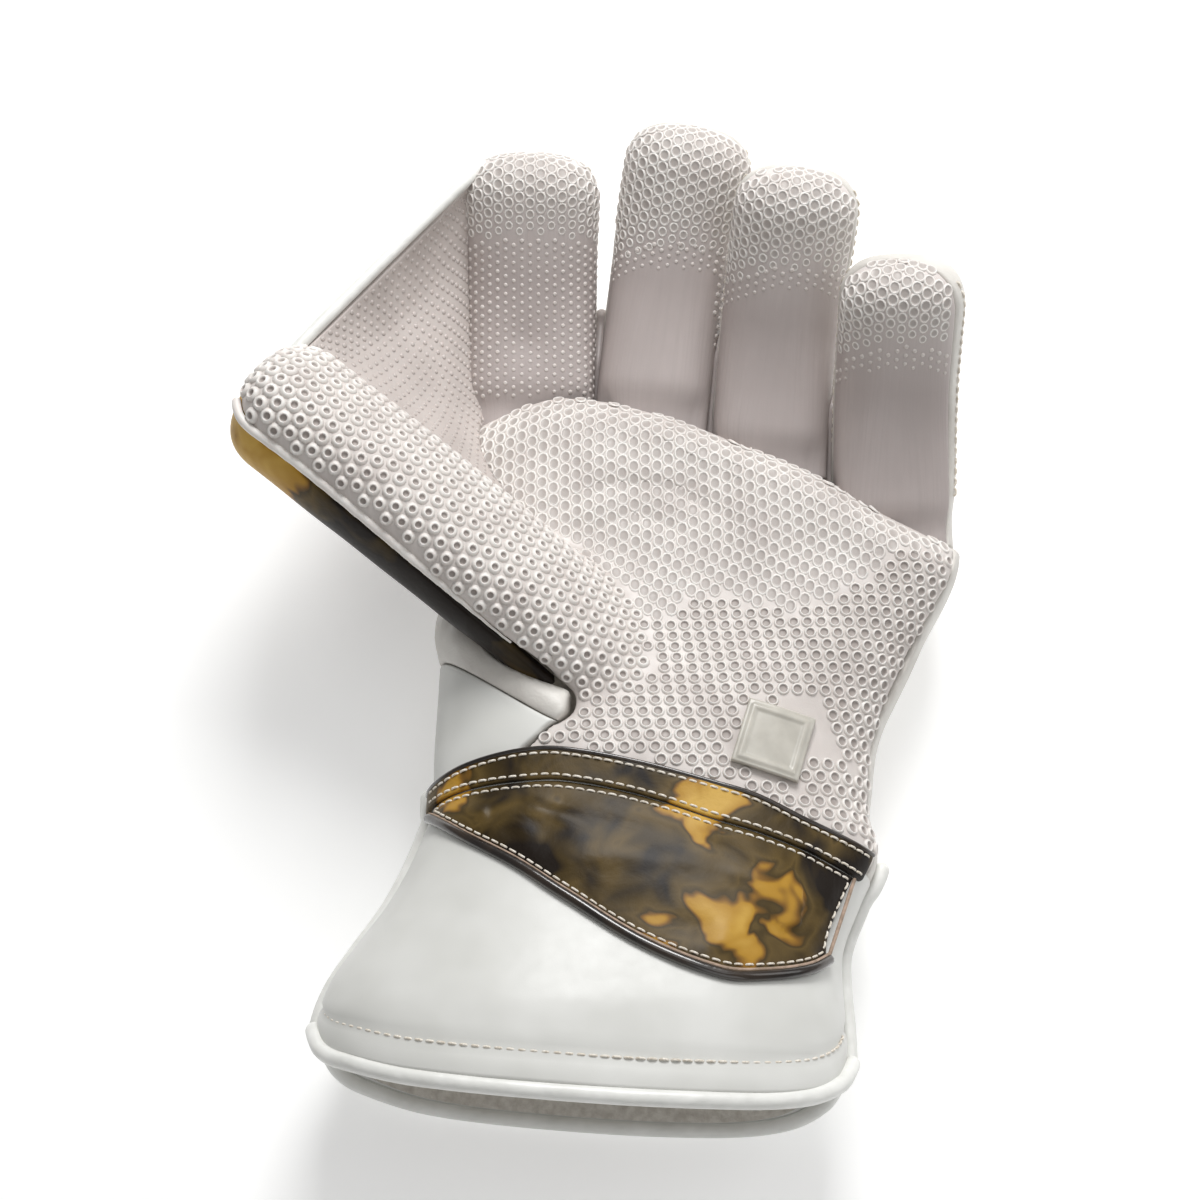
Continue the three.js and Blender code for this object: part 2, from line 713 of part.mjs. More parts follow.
const bandFrom = 0.42;
const band = panel({
  from: () => bandFrom,
  to: thumbSideEdge(bandEndInset),
  low: above(bandLow, edgeGap),
  high: above(bandTop, 0),
  outer: overlayGap + bandThickness,
  inner: overlayGap,
  across: 18,
  along: 2,
});
add("wrist_band", band, "patent");
const patchFrom = 0.56;
const patchTo = Math.PI - 0.3;
const patch = panel({
  from: () => patchFrom,
  to: () => patchTo,
  low: above(patchLow, patchPiping * 2 + seamGap),
  high: above(bandLow, -edgeGap),
  outer: (s, t) => overlayGap + patchThickness * lerp(0.6, 1, Math.sin(Math.PI * t) * Math.sin(Math.PI * s)),
  inner: overlayGap,
  across: 18,
  along: 5,
});
const pipingPoint = (t) => {
  const angle = lerp(patchFrom, patchTo, t);
  let y = 0;
  for (let pass = 0; pass < 4; pass += 1) y = patchLow(handPoint(angle, y).x) + patchPiping;
  return handPoint(angle, y, overlayGap + patchPiping);
};
const pipingLine = steps(12, pipingPoint);
add("patch_piping", bead(pipingLine, patchPiping, 26), "piping");
add("wrist_patch", cutBy(patch, bead(pipingLine, patchPiping + seamGap, 26)), "patent");

// The square badge near the heel of the palm, turned a little and following the palm.
const badgeAt = { x: wristWidth * 0.27, y: handLength * 0.125, turn: -0.3 };
const badgeSheet = (grow) => (s, t) => {
  const [u, v] = [(s - 0.5) * badgeSize, (t - 0.5) * badgeSize];
  const x = badgeAt.x + u * Math.cos(badgeAt.turn) - v * Math.sin(badgeAt.turn);
  const y = badgeAt.y + u * Math.sin(badgeAt.turn) + v * Math.cos(badgeAt.turn);
  return new THREE.Vector3(x, y, heightOver(x, y, true) + grow);
};
add("badge", wall(badgeSheet(overlayGap + badgeThickness), badgeSheet(overlayGap), 4, 4), "badge");

// The web: a hollowed sheet between the thumb's upper side and the index finger's side.
const webThumb = (t) => thumb.point(0.35, lerp(0.2, 0.82, t), -webInset);
const webIndex = (t) => indexForm.point(Math.PI - 0.25, lerp(0.05, 0.8, t), -webInset);
const webMiddle = (s, t) => {
  const [a, b] = [webThumb(t), webIndex(t)];
  const sag = webSag * 4 * s * (1 - s) * Math.sin(Math.PI * lerp(0.12, 1, t));
  return a.clone().lerp(b, s).add(new THREE.Vector3(0, -0.35, -0.94).multiplyScalar(sag));
};
const webSheet = (grow) => (s, t) => {
  const step = 0.02;
  const [s0, s1] = [Math.max(s - step, 0), Math.min(s + step, 1)];
  const [t0, t1] = [Math.max(t - step, 0), Math.min(t + step, 1)];
  const acrossWeb = webMiddle(s1, t).sub(webMiddle(s0, t));
  const alongWeb = webMiddle(s, t1).sub(webMiddle(s, t0));
  const out = acrossWeb.cross(alongWeb).normalize();
  return webMiddle(s, t).addScaledVector(out, grow);
};
const web = wall(webSheet(webWall / 2), webSheet(-webWall / 2), 10, 10);
const webTop = steps(8, (s) => {
  const edge = webMiddle(s, 1);
  const beyond = edge.clone().sub(webMiddle(s, 0.96)).normalize();
  return edge.addScaledVector(beyond, webBinding + seamGap);
});
add("web_binding", cutBy(bead(webTop, webBinding, 16), thumbCut, indexCut), "binding");
const webCut = bead(webTop, webBinding + seamGap, 16);
add("web", cutBy(web, handCut, thumbCut, indexCut, webCut), "rubber");

group.updateMatrixWorld(true);
const bounds = new THREE.Box3().setFromObject(group);
group.position.set(-(bounds.min.x + bounds.max.x) / 2, -(bounds.min.y + bounds.max.y) / 2, -bounds.min.z);

export default group;
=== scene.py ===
"""The looks of a wicketkeeping glove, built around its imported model.

The glove lies on its back with the palm up. The wrist's middle on the floor is the zero of all sizes below:
x runs across the palm to the little finger's side, y along the fingers and z up, in millimetres.
"""

import json
import logging
import math
from collections.abc import Callable, Sequence
from dataclasses import dataclass, field
from enum import Enum

import bmesh
import bpy
import numpy as np
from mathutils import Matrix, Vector
from mathutils.bvhtree import BVHTree
from mathutils.kdtree import KDTree

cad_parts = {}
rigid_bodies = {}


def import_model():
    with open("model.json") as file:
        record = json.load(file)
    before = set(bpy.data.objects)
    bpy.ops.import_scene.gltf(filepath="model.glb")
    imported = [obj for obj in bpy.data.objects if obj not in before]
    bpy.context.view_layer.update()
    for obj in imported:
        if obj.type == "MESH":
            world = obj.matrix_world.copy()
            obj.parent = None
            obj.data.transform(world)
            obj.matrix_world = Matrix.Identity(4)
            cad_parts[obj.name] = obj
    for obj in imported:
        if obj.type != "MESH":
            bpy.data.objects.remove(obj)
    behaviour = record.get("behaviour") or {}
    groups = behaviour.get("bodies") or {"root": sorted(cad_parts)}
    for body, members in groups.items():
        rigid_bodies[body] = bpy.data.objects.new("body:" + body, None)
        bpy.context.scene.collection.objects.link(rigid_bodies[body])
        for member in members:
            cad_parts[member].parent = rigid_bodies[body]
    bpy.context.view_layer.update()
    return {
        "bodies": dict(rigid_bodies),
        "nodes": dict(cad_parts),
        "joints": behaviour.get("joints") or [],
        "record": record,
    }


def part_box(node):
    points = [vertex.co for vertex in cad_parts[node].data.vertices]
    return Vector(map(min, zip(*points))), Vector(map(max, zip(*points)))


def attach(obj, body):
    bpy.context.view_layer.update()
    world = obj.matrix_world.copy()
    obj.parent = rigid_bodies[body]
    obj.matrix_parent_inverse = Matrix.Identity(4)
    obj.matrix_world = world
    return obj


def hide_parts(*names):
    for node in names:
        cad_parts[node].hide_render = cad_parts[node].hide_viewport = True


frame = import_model()

LOG = logging.getLogger("glove")
MM = 0.001
BODY = "root"
SKIN = "palm_and_thumb_rubber"
# The distance between the rows of an even staggered pattern, as a share of its spacing.
HEXAGON = math.sqrt(0.75)

Array = np.ndarray
Curve = Callable[[Array], Array]
Sheet = Callable[[Array, Array, Array], Array]
Piece = bpy.types.Object
Material = bpy.types.Material
Socket = bpy.types.NodeSocket


def lerp(a: Array, b: Array, t: Array) -> Array:
    """The value a share t of the way from a to b."""
    return a + (b - a) * t


def smooth(x: Array) -> Array:
    """A soft step from 0 to 1 while x runs from 0 to 1."""
    t = np.clip(x, 0, 1)
    return t * t * (3 - 2 * t)


def unit(v: Array) -> Array:
    """The vectors of an array, each made one long."""
    return v / np.maximum(np.linalg.norm(v, axis=-1, keepdims=True), 1e-9)


def curve_through(rows: Sequence[Sequence[float]], column: int) -> Curve:
    """A smooth curve through the rows of a table.

    Args:
        rows: The table, sorted by its first column.
        column: Which column the curve gives, as a function of the first.

    Returns:
        The curve, which holds its end values beyond the table.
    """
    xs, ys = np.array(rows, float)[:, [0, column]].T
    index = np.arange(len(xs))
    before, after = np.maximum(index - 1, 0), np.minimum(index + 1, len(xs) - 1)
    slopes = (ys[after] - ys[before]) / (xs[after] - xs[before])

    def at(x: Array) -> Array:
        """The curve's value at x.

        Args:
            x: Where.

        Returns:
            The values.
        """
        x = np.clip(x, xs[0], xs[-1])
        k = np.clip(np.searchsorted(xs, x, side="right") - 1, 0, len(xs) - 2)
        h = xs[k + 1] - xs[k]
        t = (x - xs[k]) / h
        cubic = (1 + 2 * t) * (1 - t) ** 2 * ys[k] + t * t * (3 - 2 * t) * ys[k + 1]
        return cubic + h * t * (1 - t) * ((1 - t) * slopes[k] - t * slopes[k + 1])

    return at


def ripple(points: Array, size: float, seed: int) -> Array:
    """A gentle, fixed unevenness from -1 to 1 over a surface.

    Args:
        points: The places on the surface.
        size: The width of its bumps in millimetres.
        seed: Which unevenness it is.

    Returns:
        One value for each point.
    """
    draw = np.random.default_rng(seed)
    waves = unit(draw.normal(size=(9, 3))) * draw.uniform(0.7, 1.5, (9, 1)) * math.pi / size
    phases = draw.uniform(0, 2 * math.pi, 9)
    return np.sin(points @ waves.T + phases).sum(-1) / 4.5


def measured(line: Array) -> Array:
    """The distance along a line of points at each of them."""
    return np.concatenate([[0], np.cumsum(np.linalg.norm(np.diff(line, axis=0), axis=1))])


def sampled(line: Array, measure: Array, at: Array) -> Array:
    """The points of a line where its measure has certain values."""
    return np.stack([np.interp(at, measure, line[:, k]) for k in range(3)], -1)


class SmoothLine:
    """A smooth line through a few points, measured along its length."""

    STEPS = 80

    def __init__(self, points: Array) -> None:
        """Samples the line.

        Args:
            points: The points that it passes through.
        """
        ends = np.concatenate([[2 * points[0] - points[1]], points, [2 * points[-1] - points[-2]]])
        t = np.linspace(0, 1, self.STEPS, endpoint=False)[:, None]
        parts = [self._between(ends[i : i + 4], t) for i in range(len(points) - 1)]
        self.samples = np.concatenate([*parts, points[-1:]])
        self.measure = measured(self.samples)
        self.length = float(self.measure[-1])

    @staticmethod
    def _between(p: Array, t: Array) -> Array:
        """The stretch between the middle two of four points.

        Args:
            p: The four points.
            t: The shares of the way.

        Returns:
            The points.
        """
        gaps = [math.sqrt(np.linalg.norm(p[i + 1] - p[i])) for i in range(3)]
        start, end = [
            gaps[1] * ((p[k + 1] - p[k]) / gaps[k] - (p[k + 2] - p[k]) / (gaps[k] + gaps[k + 1])
                       + (p[k + 2] - p[k + 1]) / gaps[k + 1])
            for k in (0, 1)
        ]
        a = 2 * p[1] - 2 * p[2] + start + end
        b = 3 * p[2] - 3 * p[1] - 2 * start - end
        return ((a * t + b) * t + start) * t + p[1]

    def at(self, share: Array) -> Array:
        """The points at shares of the length."""
        return sampled(self.samples, self.measure, np.clip(share, 0, 1) * self.length)

    def along(self, share: Array) -> Array:
        """The directions at shares of the length."""
        step = 0.01
        return unit(self.at(np.minimum(share + step, 1)) - self.at(np.maximum(share - step, 0)))


@dataclass(frozen=True)
class Sizes:
    """The glove's driving sizes in millimetres, as its solids have them."""

    palm_wall: float = 6
    thumb_wall: float = 4.5
    back_wall: float = 5
    cuff_wall: float = 4.5
    web_wall: float = 3.4
    wrist_width: float = 141
    wrist_depth: float = 66
    cuff_length: float = 99
    mouth_width: float = 164.5
    mouth_depth: float = 93
    mouth_shift: float = -22.2
    hand_length: float = 148
    root_depth: float = 43
    root_shift: float = 20
    little_side_lift: float = 13
    lip_roll: float = 15
    lip_drop: float = 9
    palm_hollow: float = 5
    gusset_roll: float = 2
    seam_gap: float = 0.4
    overlay_gap: float = 0.8
    tip_round: float = 16
    root_inset: float = 0.6
    thumb_width: float = 44
    thumb_face_depth: float = 16
    thumb_back_depth: float = 22
    thumb_reach: float = 130
    thumb_spread: float = 95
    thumb_root_rise: float = 30
    thumb_tip_rise: float = 83
    thumb_round: float = 18
    web_sag: float = 15
    cuff_binding: float = 2.6
    binding_proud: float = 1.2
    web_binding: float = 2.1
    thumb_bead: float = 1.5
    patch_piping: float = 1.7
    band_thickness: float = 1.6
    patch_thickness: float = 3.2
    badge_size: float = 22
    badge_thickness: float = 1.8


@dataclass(frozen=True)
class Finger:
    """A finger stall's sizes in millimetres; wrap is the angle that its back's leather reaches round."""

    name: str
    root_width: float
    tip_width: float
    depth: float
    reach: float
    lean: float
    tip_rise: float
    wrap: float


SIZES = Sizes()
FINGERS = (
    Finger("index", 44, 46.5, 30, 80, 0.5, 60, 0),
    Finger("middle", 39, 43, 30, 93, 14.5, 64, 0.25),
    Finger("ring", 40, 41.5, 30, 86, 9, 82, 0.4),
    Finger("little", 41, 41, 29, 74, 0, 90, 0.7),
)

# Rows of the sections: the way along, then the shares of the way from the wrist's left, right and depth.
CUFF_SECTIONS = (
    (-1.0, 1.0, 1.0, 1.0),
    (-0.7, 0.98, 1.03, 0.82),
    (-0.57, 0.87, 1.08, 0.66),
    (-0.45, 0.66, 1.02, 0.49),
    (-0.3, 0.37, 0.45, 0.29),
    (-0.15, 0.16, -0.2, 0.12),
    (0.0, 0.0, 0.0, 0.0),
)
HAND_SECTIONS = (
    (0.0, 0.0, 0.0, 0.0),
    (0.17, 0.02, 0.14, 0.17),
    (0.38, 0.1, 0.6, 0.42),
    (0.56, 0.32, 1.0, 0.61),
    (0.78, 0.8, 1.0, 0.86),
    (0.95, 1.0, 1.0, 1.0),
)
# Rows of the crease at the finger roots: across and along.
CREASE_LINE = (
    (0.0, 0.93),
    (0.1, 0.975),
    (0.2, 1.0),
    (0.36, 0.966),
    (0.56, 0.872),
    (0.74, 0.755),
    (0.93, 0.625),
    (1.0, 0.6),
)
# Rows of the wrist's lines: across, then the band's top, the band's lower edge and the patch's lower edge.
WRIST_LINES = (
    (-0.5, 0.07, 0.005, -0.04),
    (-0.41, 0.12, 0.035, -0.14),
    (-0.29, 0.154, 0.048, -0.25),
    (-0.2, 0.156, 0.048, -0.345),
    (-0.03, 0.107, -0.003, -0.51),
    (0.13, 0.04, -0.083, -0.606),
    (0.22, 0.0, -0.122, -0.609),
    (0.325, -0.074, -0.178, -0.575),
    (0.4, -0.12, -0.225, -0.5),
    (0.5, -0.175, -0.28, -0.42),
)
# Rows of the mouth's hem: across and along.
HEM_LINE = (
    (-0.5, -0.72),
    (-0.475, -0.82),
    (-0.43, -0.87),
    (-0.3, -0.93),
    (-0.02, -0.98),
    (0.25, -1.0),
    (0.4, -0.985),
    (0.47, -0.93),
    (0.5, -0.84),
)
# Rows of the gusset's lines: across, then its seam and its top.
GUSSET_LINES = (
    (-0.52, 0.37, 0.56),
    (-0.39, 0.28, 0.42),
    (-0.25, 0.19, 0.29),
    (-0.18, 0.155, 0.24),
)
# Rows of the thumb's line: out, along and rise, as shares of its reach.
THUMB_LINE = ((0.0, 0.0, 0.0), (0.25, 0.24, 0.36), (0.58, 0.57, 0.72), (1.0, 1.0, 1.0))


def on_oval(angle: Array, power: Array) -> tuple[Array, Array]:
    """The place on a rounded section at an angle, as shares of its two half axes."""
    across, up = (np.sign(v) * np.abs(v) ** (2 / power) for v in (np.cos(angle), np.sin(angle)))
    return across, up


class HandForm:
    """The form of the hand and cuff, from the mouth past the wrist to the finger roots."""

    SEAM_SHARE = 0.45
    FRONT_POWER = 2.8
    BACK_POWER = 3.6
    BACK_FLAT = 1.03

    def __init__(self, sizes: Sizes) -> None:
        """Reads the tables.

        Args:
            sizes: The glove's sizes.
        """
        self.sizes = sizes
        total = sum(f.root_width for f in FINGERS) + sizes.seam_gap * (len(FINGERS) - 1)
        self.root_width = total
        self.root_left = sizes.root_shift - total / 2
        self.shares = [
            (curve_through(CUFF_SECTIONS, k), curve_through(HAND_SECTIONS, k)) for k in (1, 2, 3)
        ]
        self.crease_share = curve_through(CREASE_LINE, 1)
        wrist = [curve_through(WRIST_LINES, k) for k in (1, 2, 3)]
        self.band_top, self.band_low, self.patch_low = [self._over_wrist(line) for line in wrist]
        self.gusset_seam, self.gusset_top = [
            lambda x, line=curve_through(GUSSET_LINES, k): sizes.hand_length * line(x / sizes.wrist_width)
            for k in (1, 2)
        ]
        self.hem_share = curve_through(HEM_LINE, 1)

    def _over_wrist(self, line: Curve) -> Curve:
        """A wrist line with its shares turned to millimetres."""
        s = self.sizes
        return lambda x: s.cuff_length * line(x / s.wrist_width)

    def joint(self, x: Array) -> Array:
        """Where palm and cuff meet under the band."""
        return (self.band_top(x) + self.band_low(x)) / 2

    def hem(self, x: Array) -> Array:
        """The cuff's hem."""
        s = self.sizes
        return s.cuff_length * self.hem_share((x - s.mouth_shift) / s.mouth_width)

    def crease(self, x: Array) -> Array:
        """The crease at the finger roots."""
        return self.sizes.hand_length * self.crease_share((x - self.root_left) / self.root_width)

    def section(self, y: Array) -> tuple[Array, Array, Array]:
        """The middle, half width and depth of the section at y.

        Args:
            y: The place along the glove.

        Returns:
            The three sizes.
        """
        s = self.sizes
        cuff = y < 0
        left, right, depth = [
            np.where(cuff, a(y / s.cuff_length), b(y / s.hand_length)) for a, b in self.shares
        ]
        mouth_left, mouth_right = s.mouth_shift - s.mouth_width / 2, s.mouth_shift + s.mouth_width / 2
        low = lerp(-s.wrist_width / 2, np.where(cuff, mouth_left, self.root_left), left)
        high = lerp(s.wrist_width / 2, np.where(cuff, mouth_right, self.root_left + self.root_width), right)
        deep = lerp(s.wrist_depth, np.where(cuff, s.mouth_depth, s.root_depth), depth)
        return (low + high) / 2, (high - low) / 2, deep

    def height(self, across: Array, up: Array, y: Array, grow: Array) -> Array:
        """The height of the surface at a place across the section, on the palm side or the back.

        Args:
            across: The share of the half width.
            up: The share of the half depth, below 0 on the back.
            y: The place along the glove.
            grow: How far off the surface.

        Returns:
            The height.
        """
        s = self.sizes
        middle, half, depth = self.section(y)
        seam = depth * self.SEAM_SHARE
        lift = s.little_side_lift * smooth((y / s.hand_length - 0.05) / 0.6) * smooth((across + 0.35) / 1.3)
        from_crease = self.crease(middle + across * half) - y
        roll = s.lip_drop * np.clip(1 - from_crease / s.lip_roll, 0, 1) ** 2
        in_palm = smooth(1 - np.abs(y / s.hand_length - 0.5) / 0.4)
        hollow = s.palm_hollow * in_palm * smooth(1.2 - np.abs(across - 0.1))
        back = -np.minimum(-up * self.BACK_FLAT, 1) * (seam + grow)
        front = up * (depth - seam - roll - hollow + grow)
        return seam + lift + np.where(up < 0, back, front)

    def point(self, angle: Array, y: Array, grow: Array = 0.0) -> Array:
        """The surface at an angle round its section, grown outwards by a distance.

        Args:
            angle: 0 at the little finger's side, a quarter turn at the palm, a half turn at the thumb's side.
            y: The place along the glove.
            grow: How far off the surface.

        Returns:
            The points.
        """
        angle, y, grow = np.broadcast_arrays(angle, np.asarray(y, float), grow)
        middle, half, _ = self.section(y)
        across, up = on_oval(angle, np.where(np.sin(angle) >= 0, self.FRONT_POWER, self.BACK_POWER))
        return np.stack([middle + across * (half + grow), y, self.height(across, up, y, grow)], -1)

    def normal(self, angle: Array, y: Array) -> Array:
        """The surface's outward direction.

        Args:
            angle: The angle round the section.
            y: The place along the glove.

        Returns:
            The directions.
        """
        step = 0.5
        turn = 0.01
        along = self.point(angle, y + step) - self.point(angle, y - step)
        around = self.point(angle + turn, y) - self.point(angle - turn, y)
        return unit(np.cross(along, around))

    def angle_off(self, distance: float, y: Array) -> Array:
        """The angle at which the surface lies a distance above the widest line of its section.

        Args:
            distance: The distance, below 0 on the back's side.
            y: The place along the glove.

        Returns:
            The angle.
        """
        _, _, depth = self.section(y)
        front = distance >= 0
        radius = depth * (1 - self.SEAM_SHARE if front else self.SEAM_SHARE)
        power = self.FRONT_POWER if front else self.BACK_POWER
        return math.copysign(1, distance) * np.arcsin(np.clip(abs(distance) / radius, 0, 1) ** (power / 2))

    def at_line(self, angle: Array, line: Curve, grow: Array = 0.0) -> tuple[Array, Array]:
        """Where a line given over x crosses the surface at an angle.

        Args:
            angle: The angle round the section.
            line: The line's y for each x.
            grow: How far off the surface.

        Returns:
            The points and their y.
        """
        y = np.zeros_like(np.asarray(angle, float))
        for _ in range(6):
            y = line(self.point(angle, y)[..., 0])
        return self.point(angle, y, grow), y

    def panel(self, start: Curve, end: Curve, low: Curve, high: Curve) -> Sheet:
        """A panel of the surface between two angles and two lines across it.

        Args:
            start: The angle of its first side for each y.
            end: The angle of its last side for each y.
            low: The y of its lower line for each x.
            high: The y of its upper line for each x.

        Returns:
            The sheet over s and t from 0 to 1, with a growth.
        """

        def sheet(s: Array, t: Array, grow: Array) -> Array:
            """The panel's points.

            Args:
                s: The share of the way round.
                t: The share of the way along.
                grow: How far off the surface.

            Returns:
                The points.
            """
            y = np.zeros_like(s)
            angle = y
            for _ in range(5):
                angle = lerp(start(y), end(y), s)
                x = self.point(angle, y)[..., 0]
                y = lerp(low(x), high(x), t)
            return self.point(angle, y, grow)

        return sheet


class Stall:
    """A bent tube with a blunt, rounded end that takes a finger or the thumb."""

    TIP_START = 0.66
    TIP_POWER = 2.6

    def __init__(self, points: Array, side: Array, width: Curve, front: Curve, back: Curve,
                 tip: float, root_power: float, seam_gap: float) -> None:
        """Lays the stall along its line.

        Args:
            points: The points of its line, from the root to the tip.
            side: The direction of its +side.
            width: Its width for each share of the line.
            front: The depth of its face half.
            back: The depth of its back half.
            tip: The length of its rounded end.
            root_power: How square its root is.
            seam_gap: The clearance between its halves.
        """
        self.path = SmoothLine(points)
        self.side, self.width, self.front, self.back = side, width, front, back
        self.tip, self.root_power, self.seam_gap = tip, root_power, seam_gap

    def on_path(self, way: Array) -> tuple[Array, Array, Array]:
        """The share of the line at a way, how open the tube is there and how far it faces forward.

        Args:
            way: 0 at the root, 1 at the very tip.

        Returns:
            The three values.
        """
        end = self.tip / self.path.length
        dome = np.clip((way - self.TIP_START) / (1 - self.TIP_START), 0, 1) * (math.pi / 2)
        opened, forward = on_oval(dome, self.TIP_POWER)
        share = np.minimum(way / self.TIP_START, 1) * (1 - end) + end * forward
        return share, np.where(way >= 1, 0, opened), np.where(dome > 0, forward, 0)

    def point(self, angle: Array, way: Array, grow: Array = 0.0, part: int = 0) -> Array:
        """The stall's surface.

        Args:
            angle: 0 at its +side, a quarter turn at its face.
            way: 0 at the root, 1 at the very tip.
            grow: How far off the surface.
            part: 1 for the face half, -1 for the back half, 0 for neither.

        Returns:
            The points.
        """
        angle, way, grow = np.broadcast_arrays(np.asarray(angle, float), np.asarray(way, float), grow)
        share, opened, forward = self.on_path(way)
        along = self.path.along(share)
        side = unit(self.side - (along @ self.side)[..., None] * along)
        face = unit(np.cross(side, along))
        power = lerp(self.root_power, 2.5, smooth(share / 0.7))
        across, up = on_oval(angle, power)
        deep = np.where(angle >= 0, self.front(share), self.back(share))
        return (
            self.path.at(share)
            + along * (grow * forward)[..., None]
            + side * (across * (self.width(share) / 2 + grow) * opened)[..., None]
            + face * (up * (deep + grow) * opened + part * self.seam_gap / 2)[..., None]
        )

    def half(self, front: bool, start: float = 0.0, wrap: float = 0.0) -> Sheet:
        """The face half or the back half as a sheet, from a way past the root."""
        part, turn = (1, math.pi) if front else (-1, -math.pi)
        return lambda s, t, grow: self.point(lerp(wrap, turn, s), lerp(start, 1, t), grow, part)


class GloveForm:
    """The hand, the stalls and the web together."""

    STALL_OVERLAP = 16
    THUMB_TURN = 36

    def __init__(self, sizes: Sizes) -> None:
        """Makes the hand and lays the stalls on it.

        Args:
            sizes: The glove's sizes.
        """
        self.sizes = sizes
        self.hand = HandForm(sizes)
        self.stalls: dict[str, Stall] = {}
        left = self.hand.root_left
        for finger in FINGERS:
            self.stalls[finger.name] = self._finger(finger, left + finger.root_width / 2)
            left += finger.root_width + sizes.seam_gap
        self.thumb = self._thumb()

    def _finger(self, finger: Finger, x: float) -> Stall:
        """A finger's stall at its place across the hand.

        Args:
            finger: Its sizes.
            x: Its middle.

        Returns:
            The stall.
        """
        s, hand = self.sizes, self.hand
        crease = float(hand.crease(np.array(x)))
        top, bottom = (self.over(np.array(x), np.array(crease), front) for front in (True, False))
        middle = float(top + bottom) / 2
        rise = finger.tip_rise - middle
        root = middle + s.root_inset
        points = np.array([
            (x, crease - self.STALL_OVERLAP, root),
            (x, crease, root),
            (x + finger.lean * 0.4, crease + finger.reach * 0.5, middle + rise * 0.31),
            (x + finger.lean, crease + finger.reach, finger.tip_rise),
        ])
        root_depth = float(top - bottom) / 2 - s.root_inset
        deep = lambda share: lerp(root_depth, finger.depth / 2, smooth((share - 0.15) / 0.5))
        wide = lambda share: lerp(finger.root_width, finger.tip_width, smooth(share))
        return Stall(points, np.array([1.0, 0, 0]), wide, deep, deep, s.tip_round, 4, s.seam_gap)

    def _thumb(self) -> Stall:
        """The thumb's stall, turned to face the palm.

        Returns:
            The stall.
        """
        s = self.sizes
        out, along, rise = np.array(THUMB_LINE).T
        points = np.stack([
            s.wrist_width * 0.02 - out * s.thumb_reach,
            s.hand_length * 0.26 + along * s.thumb_spread,
            lerp(s.thumb_root_rise, s.thumb_tip_rise, rise),
        ], -1)
        axis = unit((points[3] - points[0]) * (1, 1, 0))
        turn = math.radians(self.THUMB_TURN)
        side = np.array([axis[1] * math.cos(turn), -axis[0] * math.cos(turn), -math.sin(turn)])
        return Stall(points, side, lambda share: s.thumb_width * lerp(1.08, 0.97, smooth(share)),
                     lambda share: s.thumb_face_depth + 0 * share,
                     lambda share: s.thumb_back_depth * lerp(0.72, 1, smooth(share / 0.8)),
                     s.thumb_round, 2.5, s.seam_gap)

    def over(self, x: Array, y: Array, front: bool) -> Array:
        """The height of the palm side or the back over a point of the floor plan.

        Args:
            x: The place across the glove.
            y: The place along the glove.
            front: Whether it is the palm side.

        Returns:
            The height.
        """
        hand = self.hand
        middle, half, _ = hand.section(y)
        across = np.clip((x - middle) / half, -0.97, 0.97)
        power = hand.FRONT_POWER if front else hand.BACK_POWER
        up = (1 - np.abs(across) ** power) ** (1 / power)
        return hand.height(across, up if front else -up, y, 0.0)

    def web(self, s: Array, t: Array, grow: Array) -> Array:
        """The web: s from the thumb to the index finger, t from the palm to its bound edge.

        Args:
            s: The share of the way across.
            t: The share of the way along.
            grow: How far off the surface.

        Returns:
            The points.
        """
        step = 0.02

        def middle(s: Array, t: Array) -> Array:
            """The sheet's own middle.

            Args:
                s: The share of the way across.
                t: The share of the way along.

            Returns:
                The points.
            """
            a = self.thumb.point(0.35, lerp(0.2, 0.82, t), -1.0)
            b = self.stalls["index"].point(math.pi - 0.25, lerp(0.05, 0.8, t), -1.0)
            sag = self.sizes.web_sag * 4 * s * (1 - s) * np.sin(math.pi * lerp(0.12, 1, t))
            return lerp(a, b, s[..., None]) + np.array([0, -0.35, -0.94]) * sag[..., None]

        across = middle(np.minimum(s + step, 1), t) - middle(np.maximum(s - step, 0), t)
        along = middle(s, np.minimum(t + step, 1)) - middle(s, np.maximum(t - step, 0))
        return middle(s, t) + unit(np.cross(across, along)) * np.asarray(grow)[..., None]


FORM = GloveForm(SIZES)


def seam_grow(angle: Array) -> Array:
    """How far off the cuff's surface its binding lies: deep in the wall, but proud at the two sides."""
    return lerp(-SIZES.cuff_wall / 2, SIZES.binding_proud, np.cos(angle) ** 4)


def hem_point(angle: Array) -> Array:
    """The middle of the bound hem at an angle round the mouth."""
    bound = SIZES.cuff_binding + SIZES.seam_gap
    return FORM.hand.at_line(angle, lambda x: FORM.hand.hem(x) + bound, seam_grow(angle))[0]


def frame_shift() -> Array:
    """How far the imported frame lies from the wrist's middle: the hem's box there against the hem's line.

    Returns:
        The shift in millimetres.
    """
    low, high = (np.array(corner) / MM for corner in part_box("hem_binding"))
    line = hem_point(np.linspace(0, 2 * math.pi, 400))
    return (low + high) / 2 - (line.min(0) + line.max(0)) / 2


SHIFT = frame_shift()


def in_frame(points: Array) -> Array:
    """The glove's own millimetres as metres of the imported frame."""
    return (np.asarray(points) + SHIFT) * MM


